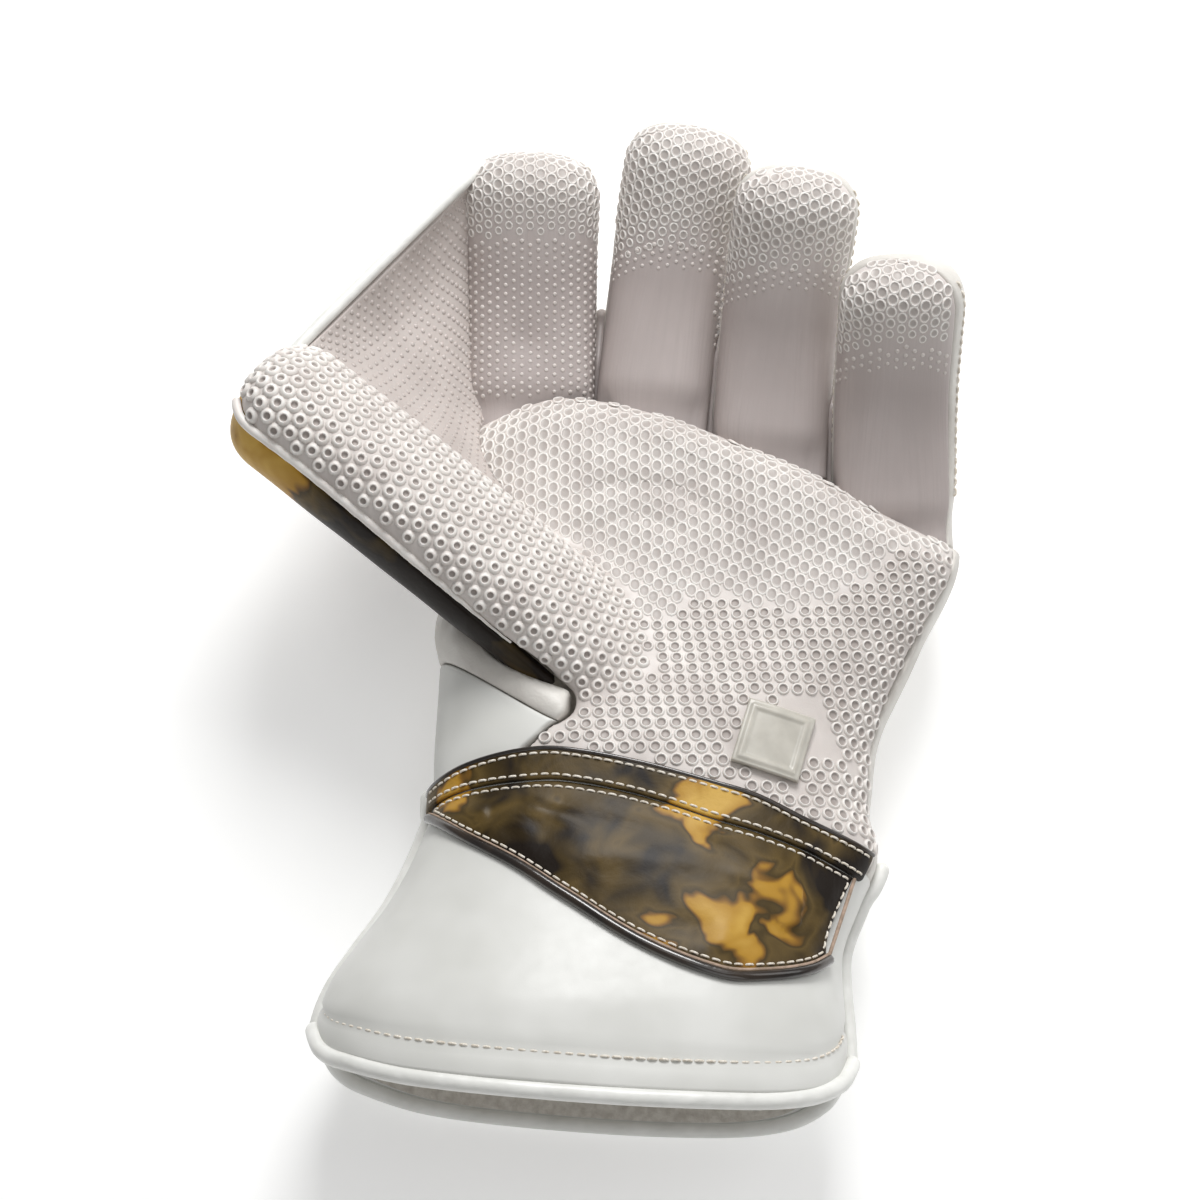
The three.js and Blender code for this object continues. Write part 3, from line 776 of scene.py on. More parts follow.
@dataclass
class Shape:
    """A mesh in the making, in millimetres: its corners, its faces and which faces are inside the glove."""

    corners: Array
    faces: list[tuple[int, ...]]
    inner: list[bool] = field(default_factory=list)
    surface: Array | None = None
    shade_marks: Array | None = None

    @classmethod
    def joined(cls, shapes: Sequence["Shape"]) -> "Shape":
        """Several shapes as one.

        Args:
            shapes: The shapes.

        Returns:
            The joined shape.
        """
        faces, start = [], 0
        for shape in shapes:
            faces += [tuple(i + start for i in face) for face in shape.faces]
            start += len(shape.corners)
        return cls(np.concatenate([shape.corners for shape in shapes]), faces)


def grid_faces(ids: Array) -> list[tuple[int, ...]]:
    """The quads between neighbouring corners of a grid of corner numbers."""
    quads = np.stack([ids[:-1, :-1], ids[1:, :-1], ids[1:, 1:], ids[:-1, 1:]], -1)
    return [tuple(quad) for quad in quads.reshape(-1, 4).tolist()]


def stations(length: float, step: float, edge: float) -> Array:
    """Distances along a side: close together where its edge is rounded and even between.

    Args:
        length: The side's length.
        step: The even spacing.
        edge: The edge's radius.

    Returns:
        The distances.
    """
    near = edge * (1 - np.cos(np.radians([0, 22.5, 45, 67.5, 90])))
    count = max(int(round((length - 2 * edge) / step)), 2)
    between = np.linspace(edge, length - edge, count + 1)[1:-1]
    return np.concatenate([near, between, (length - near)[::-1]])


def wall(sheet: Sheet, step: float, thick: float | Sheet, edge: float, relief: Sheet | None = None) -> Shape:
    """A wall with rounded edges on a sheet.

    Args:
        sheet: The sheet that its outer side follows.
        step: The spacing of its corners.
        thick: The wall's thickness, or the thickness for the shares s and t and the points.
        edge: The radius of its rounded edges.
        relief: How far the outer side stands off the sheet, for s, t and the points.

    Returns:
        The closed wall.
    """
    dense, half = np.linspace(0, 1, 60), np.full(60, 0.5)
    lines = sheet(dense, half, 0 * dense), sheet(half, dense, 0 * dense)
    size = [float(np.linalg.norm(np.diff(line, axis=0), axis=1).sum()) for line in lines]
    a, b = (stations(length, step, edge) for length in size)
    u, v = np.meshgrid(a, b, indexing="ij")
    s, t = u / size[0], v / size[1]
    ends = [np.minimum(u, size[0] - u), np.minimum(v, size[1] - v)]
    drops = [edge - np.sqrt(np.maximum(edge**2 - np.maximum(edge - d, 0) ** 2, 0)) for d in ends]
    grow = -np.minimum(drops[0] + drops[1], edge)
    flat = sheet(s, t, 0 * s)
    if relief is not None:
        grow = grow + relief(s, t, flat)
    depth = thick(s, t, flat) if callable(thick) else thick
    outer = sheet(s, t, grow)
    inner = sheet(s, t, 0 * s - depth)
    top = np.arange(s.size).reshape(s.shape)
    bottom = top + s.size
    rims = [np.stack([line(top), line(bottom)]) for line in (
        lambda g: g[0], lambda g: g[-1], lambda g: g[:, 0], lambda g: g[:, -1])]
    skin, lining = grid_faces(top), grid_faces(bottom)
    sides = [face for rim in rims for face in grid_faces(rim)]
    corners = np.concatenate([outer.reshape(-1, 3), inner.reshape(-1, 3)])
    surface = np.concatenate([np.stack([u, v, 0 * u], -1).reshape(-1, 3)] * 2)
    inside = [False] * len(skin) + [True] * len(lining) + [False] * len(sides)
    return Shape(corners, skin + lining + sides, inside, surface)


def tube(rings: Array) -> Shape:
    """A closed solid through rings of points, each end closed to its middle.

    Args:
        rings: The rings' points.

    Returns:
        The solid.
    """
    count, sides = rings.shape[:2]
    ids = np.arange(count * sides).reshape(count, sides)
    faces = grid_faces(np.concatenate([ids, ids[:, :1]], 1))
    ends = []
    for ring, centre in ((ids[0], count * sides), (ids[-1][::-1], count * sides + 1)):
        ends += [(int(ring[i]), int(ring[(i + 1) % sides]), centre) for i in range(sides)]
    middles = [rings[0].mean(0), rings[-1].mean(0)]
    return Shape(np.concatenate([rings.reshape(-1, 3), middles]), faces + ends)


def bead(line: Array, radius: Array, sides: int = 14, closed: bool = False) -> Shape:
    """A round bead along a line of points, with round ends unless it is closed.

    Args:
        line: The points of its middle, close together.
        radius: Its radius, at all points or for each.
        sides: Corners round it.
        closed: Whether its end meets its start.

    Returns:
        The closed solid.
    """
    radius = np.broadcast_to(radius, len(line)).astype(float)
    if not closed:
        turns = np.radians([90, 70, 45, 20])
        out = [unit(line[0] - line[1]), unit(line[-1] - line[-2])]
        caps = [line[k] + np.sin(turns)[:, None] * out[k] * radius[k] for k in (0, -1)]
        line = np.concatenate([caps[0], line, caps[1][::-1]])
        small = [np.maximum(np.cos(turns), 0.05) * radius[k] for k in (0, -1)]
        radius = np.concatenate([small[0], radius, small[1][::-1]])
    before, after = np.roll(line, 1, 0), np.roll(line, -1, 0)
    if not closed:
        before[0], after[-1] = line[0], line[-1]
    along = unit(after - before)
    side = np.cross(along, (0.13, 0.31, 0.94))
    other = np.cross(along, unit(side))
    angles = np.linspace(0, 2 * math.pi, sides, endpoint=False)
    rings = line[:, None] + radius[:, None, None] * (
        np.cos(angles)[:, None] * unit(side)[:, None] + np.sin(angles)[:, None] * unit(other)[:, None])
    if not closed:
        return tube(rings)
    ids = np.arange(rings.shape[0] * sides).reshape(-1, sides)
    ids = np.concatenate([ids, ids[:1]])
    return Shape(rings.reshape(-1, 3), grid_faces(np.concatenate([ids, ids[:, :1]], 1)))


def scattered(template: Shape, places: Array, up: Array, along: Array, scale: Array) -> Shape:
    """Copies of a small shape as one mesh.

    Args:
        template: The shape, standing on its own zero with its z up and its x along.
        places: Where each copy stands.
        up: Each copy's up direction.
        along: Each copy's rough direction.
        scale: Each copy's size along its own x, y and z.

    Returns:
        The joined copies.
    """
    across = unit(np.cross(up, along))
    axes = np.stack([np.cross(across, up), across, up], 1)
    corners = np.einsum("nk,pkc->pnc", template.corners, axes * scale[:, :, None]) + places[:, None]
    count = len(template.corners)
    shifts = np.arange(len(places)) * count
    faces = [tuple(i + shift for i in face) for shift in shifts.tolist() for face in template.faces]
    shade_marks = None if template.shade_marks is None else np.tile(template.shade_marks, len(places))
    return Shape(corners.reshape(-1, 3), faces, shade_marks=shade_marks)


def place(name: str, shape: Shape, outside: Material, inside: Material | None = None,
          seal: bool = True) -> Piece:
    """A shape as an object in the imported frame.

    Args:
        name: The piece's name.
        shape: Its mesh in millimetres.
        outside: The finish of what faces out.
        inside: The finish of what faces into the glove.
        seal: Whether its double corners are merged and its faces turned outwards.

    Returns:
        The smooth-shaded object.
    """
    mesh = bpy.data.meshes.new(name)
    mesh.from_pydata(in_frame(shape.corners).tolist(), [], shape.faces)
    for finish in (outside, inside or outside):
        mesh.materials.append(finish)
    if shape.inner:
        mesh.polygons.foreach_set("material_index", [int(flag) for flag in shape.inner])
    if shape.surface is not None:
        layer = mesh.attributes.new("surface", "FLOAT_VECTOR", "POINT")
        layer.data.foreach_set("vector", (shape.surface * MM).ravel())
    # The cups' shade marks, painted shade in their hollows and round their feet, go to the hollow attribute.
    if shape.shade_marks is not None:
        layer = mesh.attributes.new("hollow", "FLOAT", "POINT")
        layer.data.foreach_set("value", shape.shade_marks)
    if seal:
        build = bmesh.new()
        build.from_mesh(mesh)
        bmesh.ops.remove_doubles(build, verts=build.verts, dist=0.02 * MM)
        bmesh.ops.dissolve_degenerate(build, edges=build.edges, dist=0.005 * MM)
        bmesh.ops.recalc_face_normals(build, faces=build.faces)
        build.to_mesh(mesh)
        build.free()
    mesh.shade_smooth()
    piece = bpy.data.objects.new(name, mesh)
    bpy.context.scene.collection.objects.link(piece)
    return piece


class Slot(Enum):
    """The record's material slots."""

    RUBBER = "dimpled_rubber"
    LEATHER = "white_leather"
    CUFF = "cuff_leather"
    PATENT = "patent_leather"
    PIPING = "piping"
    BINDING = "binding"
    BADGE = "soft_badge"


def keep(piece: Piece, slot: Slot, *nodes: str, fill: float | None = None) -> Piece:
    """Rides the piece on the glove and reports it.

    Args:
        piece: The piece.
        slot: Its material slot; not used.
        nodes: The solids that it stands for.
        fill: How tight it is, if it is padded; not used.

    Returns:
        The piece.
    """
    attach(piece, BODY)
    if nodes:
        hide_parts(*nodes)
    LOG.info("%s: %d faces", piece.name, len(piece.data.polygons))
    return piece


def applied(piece: Piece) -> Piece:
    """The piece with its modifiers made part of its mesh.

    Args:
        piece: The piece.

    Returns:
        The piece.
    """
    mesh = bpy.data.meshes.new_from_object(piece.evaluated_get(bpy.context.evaluated_depsgraph_get()))
    piece.modifiers.clear()
    piece.data = mesh
    return piece


def cut(piece: Piece, shape: Shape) -> Piece:
    """The piece with a closed shape cut away.

    Args:
        piece: The piece.
        shape: What is cut away.

    Returns:
        The piece.
    """
    tool = place("cutting_tool", shape, piece.data.materials[0])
    change = piece.modifiers.new("cut", "BOOLEAN")
    change.operation = "DIFFERENCE"
    change.solver = "MANIFOLD"
    change.object = tool
    bpy.context.view_layer.update()
    applied(piece)
    bpy.data.objects.remove(tool)
    return piece


def linear(colour: str) -> tuple[float, float, float, float]:
    """An sRGB hex value as linear light."""
    parts = [int(colour[i : i + 2], 16) / 255 for i in (1, 3, 5)]
    return (*(c / 12.92 if c <= 0.04045 else ((c + 0.055) / 1.055) ** 2.4 for c in parts), 1.0)


def per(size: float) -> float:
    """The texture scale that gives a pattern a size in millimetres."""
    return 1 / (size * MM)


class Palette:
    """A procedural material in the making."""

    PATTERNS = ("TexNoise", "TexVoronoi")

    def __init__(self, name: str, **shader: object) -> None:
        """Makes the material.

        Args:
            name: Its name.
            shader: Values for the shader's sockets, with _ for a space.
        """
        self.material = bpy.data.materials.new(name)
        self.material.use_nodes = True
        self.tree = self.material.node_tree
        self.shader = self.tree.nodes["Principled BSDF"]
        for key, value in shader.items():
            self.shader.inputs[key.replace("_", " ")].default_value = value
        self.place = self.add("TexCoord", output="Object")

    def add(self, kind: str, inputs: dict | None = None, output: int | str = 0, **settings: object) -> Socket:
        """Adds a node with its settings and links; a pattern lies in the object's own space.

        Args:
            kind: Its type's name.
            inputs: What its sockets hold, by name or number: a value, or an output to link.
            output: Which of its outputs is wanted.
            settings: Its other settings.

        Returns:
            The wanted output.
        """
        node = self.tree.nodes.new("ShaderNode" + kind)
        for key, value in settings.items():
            setattr(node, key, value)
        given = {"Vector": self.place} if kind in self.PATTERNS else {}
        for key, value in {**given, **(inputs or {})}.items():
            if isinstance(value, Socket):
                self.tree.links.new(value, node.inputs[key])
            else:
                node.inputs[key].default_value = value
        return node.outputs[output]

    def tinted(self, pattern: Socket, span: tuple[float, float], one: object, other: object) -> Socket:
        """A tint that turns from one colour to another as a pattern crosses a span.

        Args:
            pattern: The pattern.
            span: Where the first colour ends and where the other is full.
            one: The first colour, as hex or an output.
            other: The other colour.

        Returns:
            The colour.
        """
        share = self.add("MapRange", {0: pattern, 1: span[0], 2: span[1]})
        colours = [linear(c) if isinstance(c, str) else c for c in (one, other)]
        return self.add("Mix", {0: share, 6: colours[0], 7: colours[1]}, 2, data_type="RGBA")

    def finished(self, colour: Socket, roughness: tuple[float, float] | None,
                 relief: Sequence[tuple[Socket, float]]) -> Material:
        """The finished material.

        Args:
            colour: Its colour.
            roughness: Its least and greatest roughness, in patches 4 mm wide, or none to keep one value.
            relief: Patterns of height, each with its depth in millimetres.

        Returns:
            The material.
        """
        self.tree.links.new(colour, self.shader.inputs["Base Color"])
        if roughness is not None:
            patches = self.add("TexNoise", {"Scale": per(4), "Detail": 3})
            worn = self.add("MapRange", {0: patches, 1: 0.3, 2: 0.7, 3: roughness[0], 4: roughness[1]})
            self.tree.links.new(worn, self.shader.inputs["Roughness"])
        normal = None
        for height, depth in relief:
            inputs = {"Height": height, "Distance": depth * MM}
            if normal is not None:
                inputs["Normal"] = normal
            normal = self.add("Bump", inputs, "Normal")
        self.tree.links.new(normal, self.shader.inputs["Normal"])
        return self.material


# Moulded latex lets a little warm light through its surface.
LATEX = {"IOR": 1.5, "Subsurface_Weight": 0.06, "Subsurface_Scale": 1.5 * MM,
         "Subsurface_Radius": (1.0, 0.7, 0.6)}


@dataclass(frozen=True)
class MouldedRubber:
    """Moulded latex rubber: chalky off-white with a broad soft sheen, and painted shade down in its cups and
    round their feet.

    Its real grain is finer than the picture shows and is drawn 0.5 mm wide.
    """

    name: str = "moulded_latex_rubber"
    colour: str = "#f0ece7"
    shade: str = "#e2dcd7"
    # Painted shade for the cups' hollows and feet.
    painted_hollow_shade: str = "#a69d98"
    cloud_mm: float = 14
    grain_mm: float = 0.5
    grain_depth_mm: float = 0.04

    def material(self) -> Material:
        """Builds the material.

        Returns:
            The material.
        """
        p = Palette(self.name, **LATEX)
        clouds = p.add("TexNoise", {"Scale": per(self.cloud_mm), "Detail": 3})
        # The hollow attribute tells how much painted shade each corner of a cup takes.
        hollow = p.add("Attribute", output="Fac", attribute_name="hollow")
        colour = p.tinted(hollow, (0, 1), p.tinted(clouds, (0.35, 0.7), self.colour, self.shade), self.painted_hollow_shade)
        grain = p.add("TexNoise", {"Scale": per(self.grain_mm), "Detail": 2})
        return p.finished(colour, (0.38, 0.52), [(grain, self.grain_depth_mm)])


@dataclass(frozen=True)
class WornAndShadedRubber:
    """The same latex rubbed smooth on the stalls, with fine streaks along them; greyer at their roots, partly
    from wear and partly painted shade where the shafts face away from the light.
    """

    name: str = "rubbed_and_shaded_latex_rubber"
    colour: str = "#d8d0cc"
    shade: str = "#b4aaa7"
    deep_shade: str = "#aca29f"
    fades_mm: tuple[float, float] = (46, 84)
    cloud_mm: float = 30
    streak_mm: tuple[float, float] = (1.1, 26)
    streak_depth_mm: float = 0.12
    grain_mm: float = 0.5
    grain_depth_mm: float = 0.03

    def material(self) -> Material:
        """Builds the material; its second surface coordinate runs from the stall's root to its tip.

        Returns:
            The material.
        """
        p = Palette(self.name, **LATEX)
        surface = p.add("Attribute", output="Vector", attribute_name="surface")
        across, along = (per(size) for size in self.streak_mm)
        grid = p.add("VectorMath", {0: surface, 1: (across, along, 1)}, operation="MULTIPLY")
        streaks = p.add("TexNoise", {"Vector": grid, "Scale": 1.0, "Detail": 3})
        clouds = p.add("TexNoise", {"Scale": per(self.cloud_mm), "Detail": 3})
        root = p.tinted(clouds, (0.35, 0.7), self.shade, self.deep_shade)
        streaked = p.tinted(streaks, (0.42, 0.8), root, self.deep_shade)
        height = p.add("SeparateXYZ", {0: surface}, 1)
        start, end = (size * MM for size in self.fades_mm)
        # The grey roots fade into the tip's colour: partly wear and partly painted shade.
        colour = p.tinted(height, (start, end), streaked, self.colour)
        grain = p.add("TexNoise", {"Scale": per(self.grain_mm), "Detail": 2})
        relief = [(streaks, self.streak_depth_mm), (grain, self.grain_depth_mm)]
        return p.finished(colour, (0.36, 0.5), relief)


@dataclass(frozen=True)
class GrainedLeather:
    """Full-grain sheepskin, tanned white: fine pebbled grain, soft creases and a low satin sheen.

    Its pebbles are drawn 0.8 mm wide, which is coarser than real ones, so that they show.
    """

    name: str = "white_grained_leather"
    colour: str = "#dfdcd6"
    shade: str = "#c6c1ba"
    cloud_mm: float = 22
    grain_mm: float = 0.8
    crease_mm: float = 9

    def material(self) -> Material:
        """Builds the material.

        Returns:
            The material.
        """
        p = Palette(self.name, IOR=1.48)
        clouds = p.add("TexNoise", {"Scale": per(self.cloud_mm), "Detail": 3})
        colour = p.tinted(clouds, (0.35, 0.75), self.colour, self.shade)
        pebbles = p.add("TexVoronoi", {"Scale": per(self.grain_mm)}, "Distance", feature="SMOOTH_F1")
        creases = p.add("TexNoise", {"Scale": per(self.crease_mm), "Detail": 5, "Distortion": 0.6})
        return p.finished(colour, (0.4, 0.55), [(creases, 0.5), (pebbles, 0.06)])


@dataclass(frozen=True)
class CoatedLeather:
    """Split leather with a rolled polyurethane coat: smooth, bright white and glossy with long soft waves."""

    name: str = "polyurethane_coated_leather"
    colour: str = "#dbdbd7"
    shade: str = "#cfcfca"
    wave_mm: float = 26
    grain_mm: float = 0.35
    roughness: tuple[float, float] = (0.42, 0.52)
    coat: float = 0.12

    def material(self) -> Material:
        """Builds the material.

        Returns:
            The material.
        """
        p = Palette(self.name, IOR=1.5, Coat_Weight=self.coat, Coat_Roughness=0.18)
        waves = p.add("TexNoise", {"Scale": per(self.wave_mm), "Detail": 2})
        grain = p.add("TexNoise", {"Scale": per(self.grain_mm), "Detail": 2})
        colour = p.tinted(waves, (0.3, 0.75), self.colour, self.shade)
        return p.finished(colour, self.roughness, [(waves, 0.7), (grain, 0.012)])


@dataclass(frozen=True)
class MarbledPatent:
    """Patent leather under a marbled tortoiseshell lacquer: olive brown to near black with amber clouds."""

    name: str
    clouds: tuple[tuple[float, float, float, float, float], ...]
    level: float
    gloss: float
    cloud_mm: float = 17
    crease_mm: float = 15
    grain_mm: float = 1.4
    bands: tuple[tuple[float, str], ...] = (
        (0.22, "#1a120b"), (0.36, "#433519"), (0.5, "#5c4a26"), (0.56, "#433519"),
        (0.59, "#7a5620"), (0.63, "#ad822c"), (0.8, "#c8a14c"))

    def material(self) -> Material:
        """Builds the material; each cloud is x, y, z, reach in millimetres and how much amber it brings.

        Returns:
            The material.
        """
        p = Palette(self.name, IOR=1.52, Roughness=0.5, Specular_IOR_Level=self.gloss, Coat_Weight=self.gloss,
                    Coat_Roughness=0.3)
        marbling = p.add("TexNoise", {"Scale": per(self.cloud_mm), "Detail": 2, "Distortion": 0.7})
        value = p.add("Math", {0: marbling, 1: self.level - 0.5})
        for *centre, reach, lift in self.clouds:
            gap = p.add("VectorMath", {0: p.place, 1: tuple(in_frame(centre))}, "Value", operation="DISTANCE")
            fade = {0: gap, 1: 0.0, 2: reach * MM, 3: lift, 4: 0.0}
            near = p.add("MapRange", fade, interpolation_type="SMOOTHSTEP")
            value = p.add("Math", {0: value, 1: near})
        colour = p.add("ValToRGB", {0: value}, "Color")
        band = colour.node.color_ramp
        while len(band.elements) < len(self.bands):
            band.elements.new(0.5)
        for element, (at, tone) in zip(band.elements, self.bands):
            element.position = at
            element.color = linear(tone)
        creases = p.add("TexNoise", {"Scale": per(self.crease_mm), "Detail": 5, "Distortion": 0.6})
        grain = p.add("TexNoise", {"Scale": per(self.grain_mm), "Detail": 3})
        return p.finished(colour, None, [(creases, 0.8), (grain, 0.05)])


@dataclass(frozen=True)
class PlainFinish:
    """What the plain finishes share: two tones in soft patches, fixed shader values and patterns in relief.

    The patches are their size in millimetres and their detail, and span is where one tone turns to the other.
    Each pattern in relief is its size in millimetres, its detail and its depth in millimetres.
    """

    name: str
    colour: str
    shade: str
    patches: tuple[float, float]
    span: tuple[float, float]
    relief: tuple[tuple[float, float, float], ...]
    shader: tuple[tuple[str, object], ...]

    def material(self) -> Material:
        """Builds the material.

        Returns:
            The material.
        """
        p = Palette(self.name, **dict(self.shader))
        size, detail = self.patches
        patches = p.add("TexNoise", {"Scale": per(size), "Detail": detail})
        relief = [(p.add("TexNoise", {"Scale": per(size), "Detail": detail}), depth)
                  for size, detail, depth in self.relief]
        return p.finished(p.tinted(patches, self.span, self.colour, self.shade), None, relief)


@dataclass(frozen=True)
class DarkPiping(PlainFinish):
    """Folded patent strip: near-black lacquer with a hard thin highlight."""

    name: str = "dark_patent_piping"
    colour: str = "#1a120d"
    shade: str = "#33261a"
    patches: tuple = (12, 3)
    span: tuple = (0.4, 0.7)
    relief: tuple = ((4, 3, 0.2),)
    shader: tuple = (("IOR", 1.52), ("Roughness", 0.3), ("Coat_Weight", 0.9), ("Coat_Roughness", 0.07))


@dataclass(frozen=True)
class CutLeatherEdge(PlainFinish):
    """The bare cut edge of the patent leather: pinkish beige and matt."""

    name: str = "raw_cut_leather_edge"
    colour: str = "#b59d8b"
    shade: str = "#93806f"
    patches: tuple = (2.5, 3)
    span: tuple = (0.35, 0.65)
    relief: tuple = ((0.5, 3, 0.1),)
    shader: tuple = (("Roughness", 0.8),)


@dataclass(frozen=True)
class BrushedCotton(PlainFinish):
    """Brushed cotton lining: matt off-white with a short fuzzy nap."""

    name: str = "brushed_cotton_lining"
    colour: str = "#dedad2"
    shade: str = "#c2bcb3"
    patches: tuple = (2.5, 4)
    span: tuple = (0.35, 0.7)
    relief: tuple = ((6, 4, 0.4), (0.7, 3, 0.15))
    shader: tuple = (("Roughness", 0.95), ("Sheen_Weight", 0.4), ("Sheen_Roughness", 0.5))


@dataclass(frozen=True)
class SoftPolymer(PlainFinish):
    """Cast soft thermoplastic polyurethane: milky, waxy and slightly see-through."""

    name: str = "cast_soft_polyurethane"
    colour: str = "#c6c2b8"
    shade: str = "#b7b3a9"
    patches: tuple = (7, 3)
    span: tuple = (0.35, 0.7)
    relief: tuple = ((1.5, 3, 0.03),)
    shader: tuple = (
        ("IOR", 1.49), ("Roughness", 0.36), ("Subsurface_Weight", 0.3), ("Subsurface_Scale", 2 * MM),
        ("Subsurface_Radius", (1.0, 0.9, 0.8)), ("Coat_Weight", 0.25), ("Coat_Roughness", 0.2))


@dataclass(frozen=True)
class TwistedThread(PlainFinish):
    """Bonded twisted polyester thread: off-white with a faint twist and a waxy sheen."""

    name: str = "bonded_polyester_thread"
    colour: str = "#efe9de"
    shade: str = "#d3c9b9"
    patches: tuple = (0.8, 3)
    span: tuple = (0.4, 0.6)
    relief: tuple = ((0.4, 2, 0.08),)
    shader: tuple = (("Roughness", 0.5), ("IOR", 1.5))


@dataclass(frozen=True)
class StudioPaper(PlainFinish):
    """Seamless paper under the glove: matt, pale and faintly uneven, with a glow that keeps it white."""

    name: str = "studio_paper"
    colour: str = "#f7f7f6"
    shade: str = "#f4f4f3"
    patches: tuple = (60, 3)
    span: tuple = (0.3, 0.7)
    relief: tuple = ((1.5, 2, 0.01),)
    shader: tuple = (("Roughness", 0.9), ("Emission_Color", (1, 1, 1, 1)), ("Emission_Strength", 0.3))


class Finishes:
    """Every finish of the glove, built once."""

    def __init__(self) -> None:
        """Builds the materials."""
        # The skin's latex is a darker copy of the cups' latex: painted shade on the floor between the raised
        # cups.
        self.rubber = MouldedRubber().material()
        self.skin = MouldedRubber(name="shaded_moulded_latex_skin", colour="#d8d1cc", shade="#c9c1bc").material()
        # The stalls' faces, greyer at their roots: partly wear and partly painted shade.
        self.worn = WornAndShadedRubber().material()
        # The web's latex is a darker copy too: painted shade over the hollow web, darker still in its bumps'
        # hollows.
        self.web = MouldedRubber(name="shaded_stretched_latex_rubber", colour="#cfc6c1", shade="#bdb4af",
                                 painted_hollow_shade="#9b928d", cloud_mm=30).material()
        self.leather = GrainedLeather().material()
        self.cuff = CoatedLeather().material()
        self.binding = CoatedLeather(name="polyurethane_binding", colour="#eeeeea", shade="#e2e2dd",
                                     wave_mm=8, roughness=(0.36, 0.46), coat=0.15).material()
        at_tip = (-130, 112, 76, 46, 0.75)
        self.thumb_patent = MarbledPatent("marbled_patent_thumb", (at_tip,), 0.2, 0.12).material()
        over_wrist = ((30, -36, 74, 32, 0.34), (-2, -46, 80, 16, 0.3), (60, -30, 60, 20, -0.3),
                      (-64, 4, 52, 18, 0.42), (18, -4, 69, 26, 0.34))
        self.wrist_patent = MarbledPatent("marbled_patent_wrist", over_wrist, 0.36, 0.14).material()
        self.piping = DarkPiping().material()
        self.cut_edge = CutLeatherEdge().material()
        self.lining = BrushedCotton().material()
        self.badge = SoftPolymer().material()
        self.thread = TwistedThread().material()
        self.paper = StudioPaper().material()


def smoothed(piece: Piece, rounds: int, weights: Array | None = None) -> Piece:
    """The piece with its surface relaxed.

    Args:
        piece: The piece.
        rounds: How many times its corners move towards their neighbours.
        weights: How much each corner takes part, or all of them fully.

    Returns:
        The piece.
    """
    change = piece.modifiers.new("relax", "SMOOTH")
    change.iterations = rounds
    change.factor = 0.5
    if weights is not None:
        group = piece.vertex_groups.new(name="relax")
        for index in np.nonzero(weights > 0.02)[0].tolist():
            group.add([index], float(weights[index]), "REPLACE")
        change.vertex_group = "relax"
    applied(piece)
    piece.vertex_groups.clear()
    return piece


def remeshed(piece: Piece, voxel: float) -> Piece:
    """The piece as one skin of even squares of a size in millimetres.

    Args:
        piece: The piece.
        voxel: The squares' size.

    Returns:
        The piece.
    """
    change = piece.modifiers.new("skin", "REMESH")
    change.mode = "VOXEL"
    change.voxel_size = voxel * MM
    change.use_smooth_shade = True
    return applied(piece)


def corners_of(piece: Piece) -> Array:
    """The piece's corners in the glove's own millimetres.

    Args:
        piece: The piece.

    Returns:
        The corners.
    """
    values = np.zeros(len(piece.data.vertices) * 3)
    piece.data.vertices.foreach_get("co", values)
    return values.reshape(-1, 3) / MM - SHIFT


class Touch:
    """Finds the nearest place on a piece's surface."""

    def __init__(self, corners: Array, faces: Sequence[Sequence[int]]) -> None:
        """Indexes the surface."""
        self.tree = BVHTree.FromPolygons(corners.tolist(), faces)

    @classmethod
    def on(cls, piece: Piece) -> "Touch":
        """The surface of a piece."""
        return cls(corners_of(piece), [tuple(face.vertices) for face in piece.data.polygons])

    def nearest(self, points: Array) -> tuple[Array, Array, Array]:
        """The nearest places, the surface's directions there and the distances.

        Args:
            points: The points that look for it.

        Returns:
            One value of each for every point.
        """
        found = [self.tree.find_nearest(Vector(point)) for point in points.reshape(-1, 3).tolist()]
        places, normals = (np.array([row[k] for row in found]).reshape(points.shape) for k in (0, 1))
        return places, normals, np.array([row[3] for row in found]).reshape(points.shape[:-1])


def neighbours(points: Array) -> KDTree:
    """An index of points by their places.

    Args:
        points: The points.

    Returns:
        The index.
    """
    index = KDTree(len(points))
    for number, point in enumerate(points.tolist()):
        index.insert(point, number)
    index.balance()
    return index


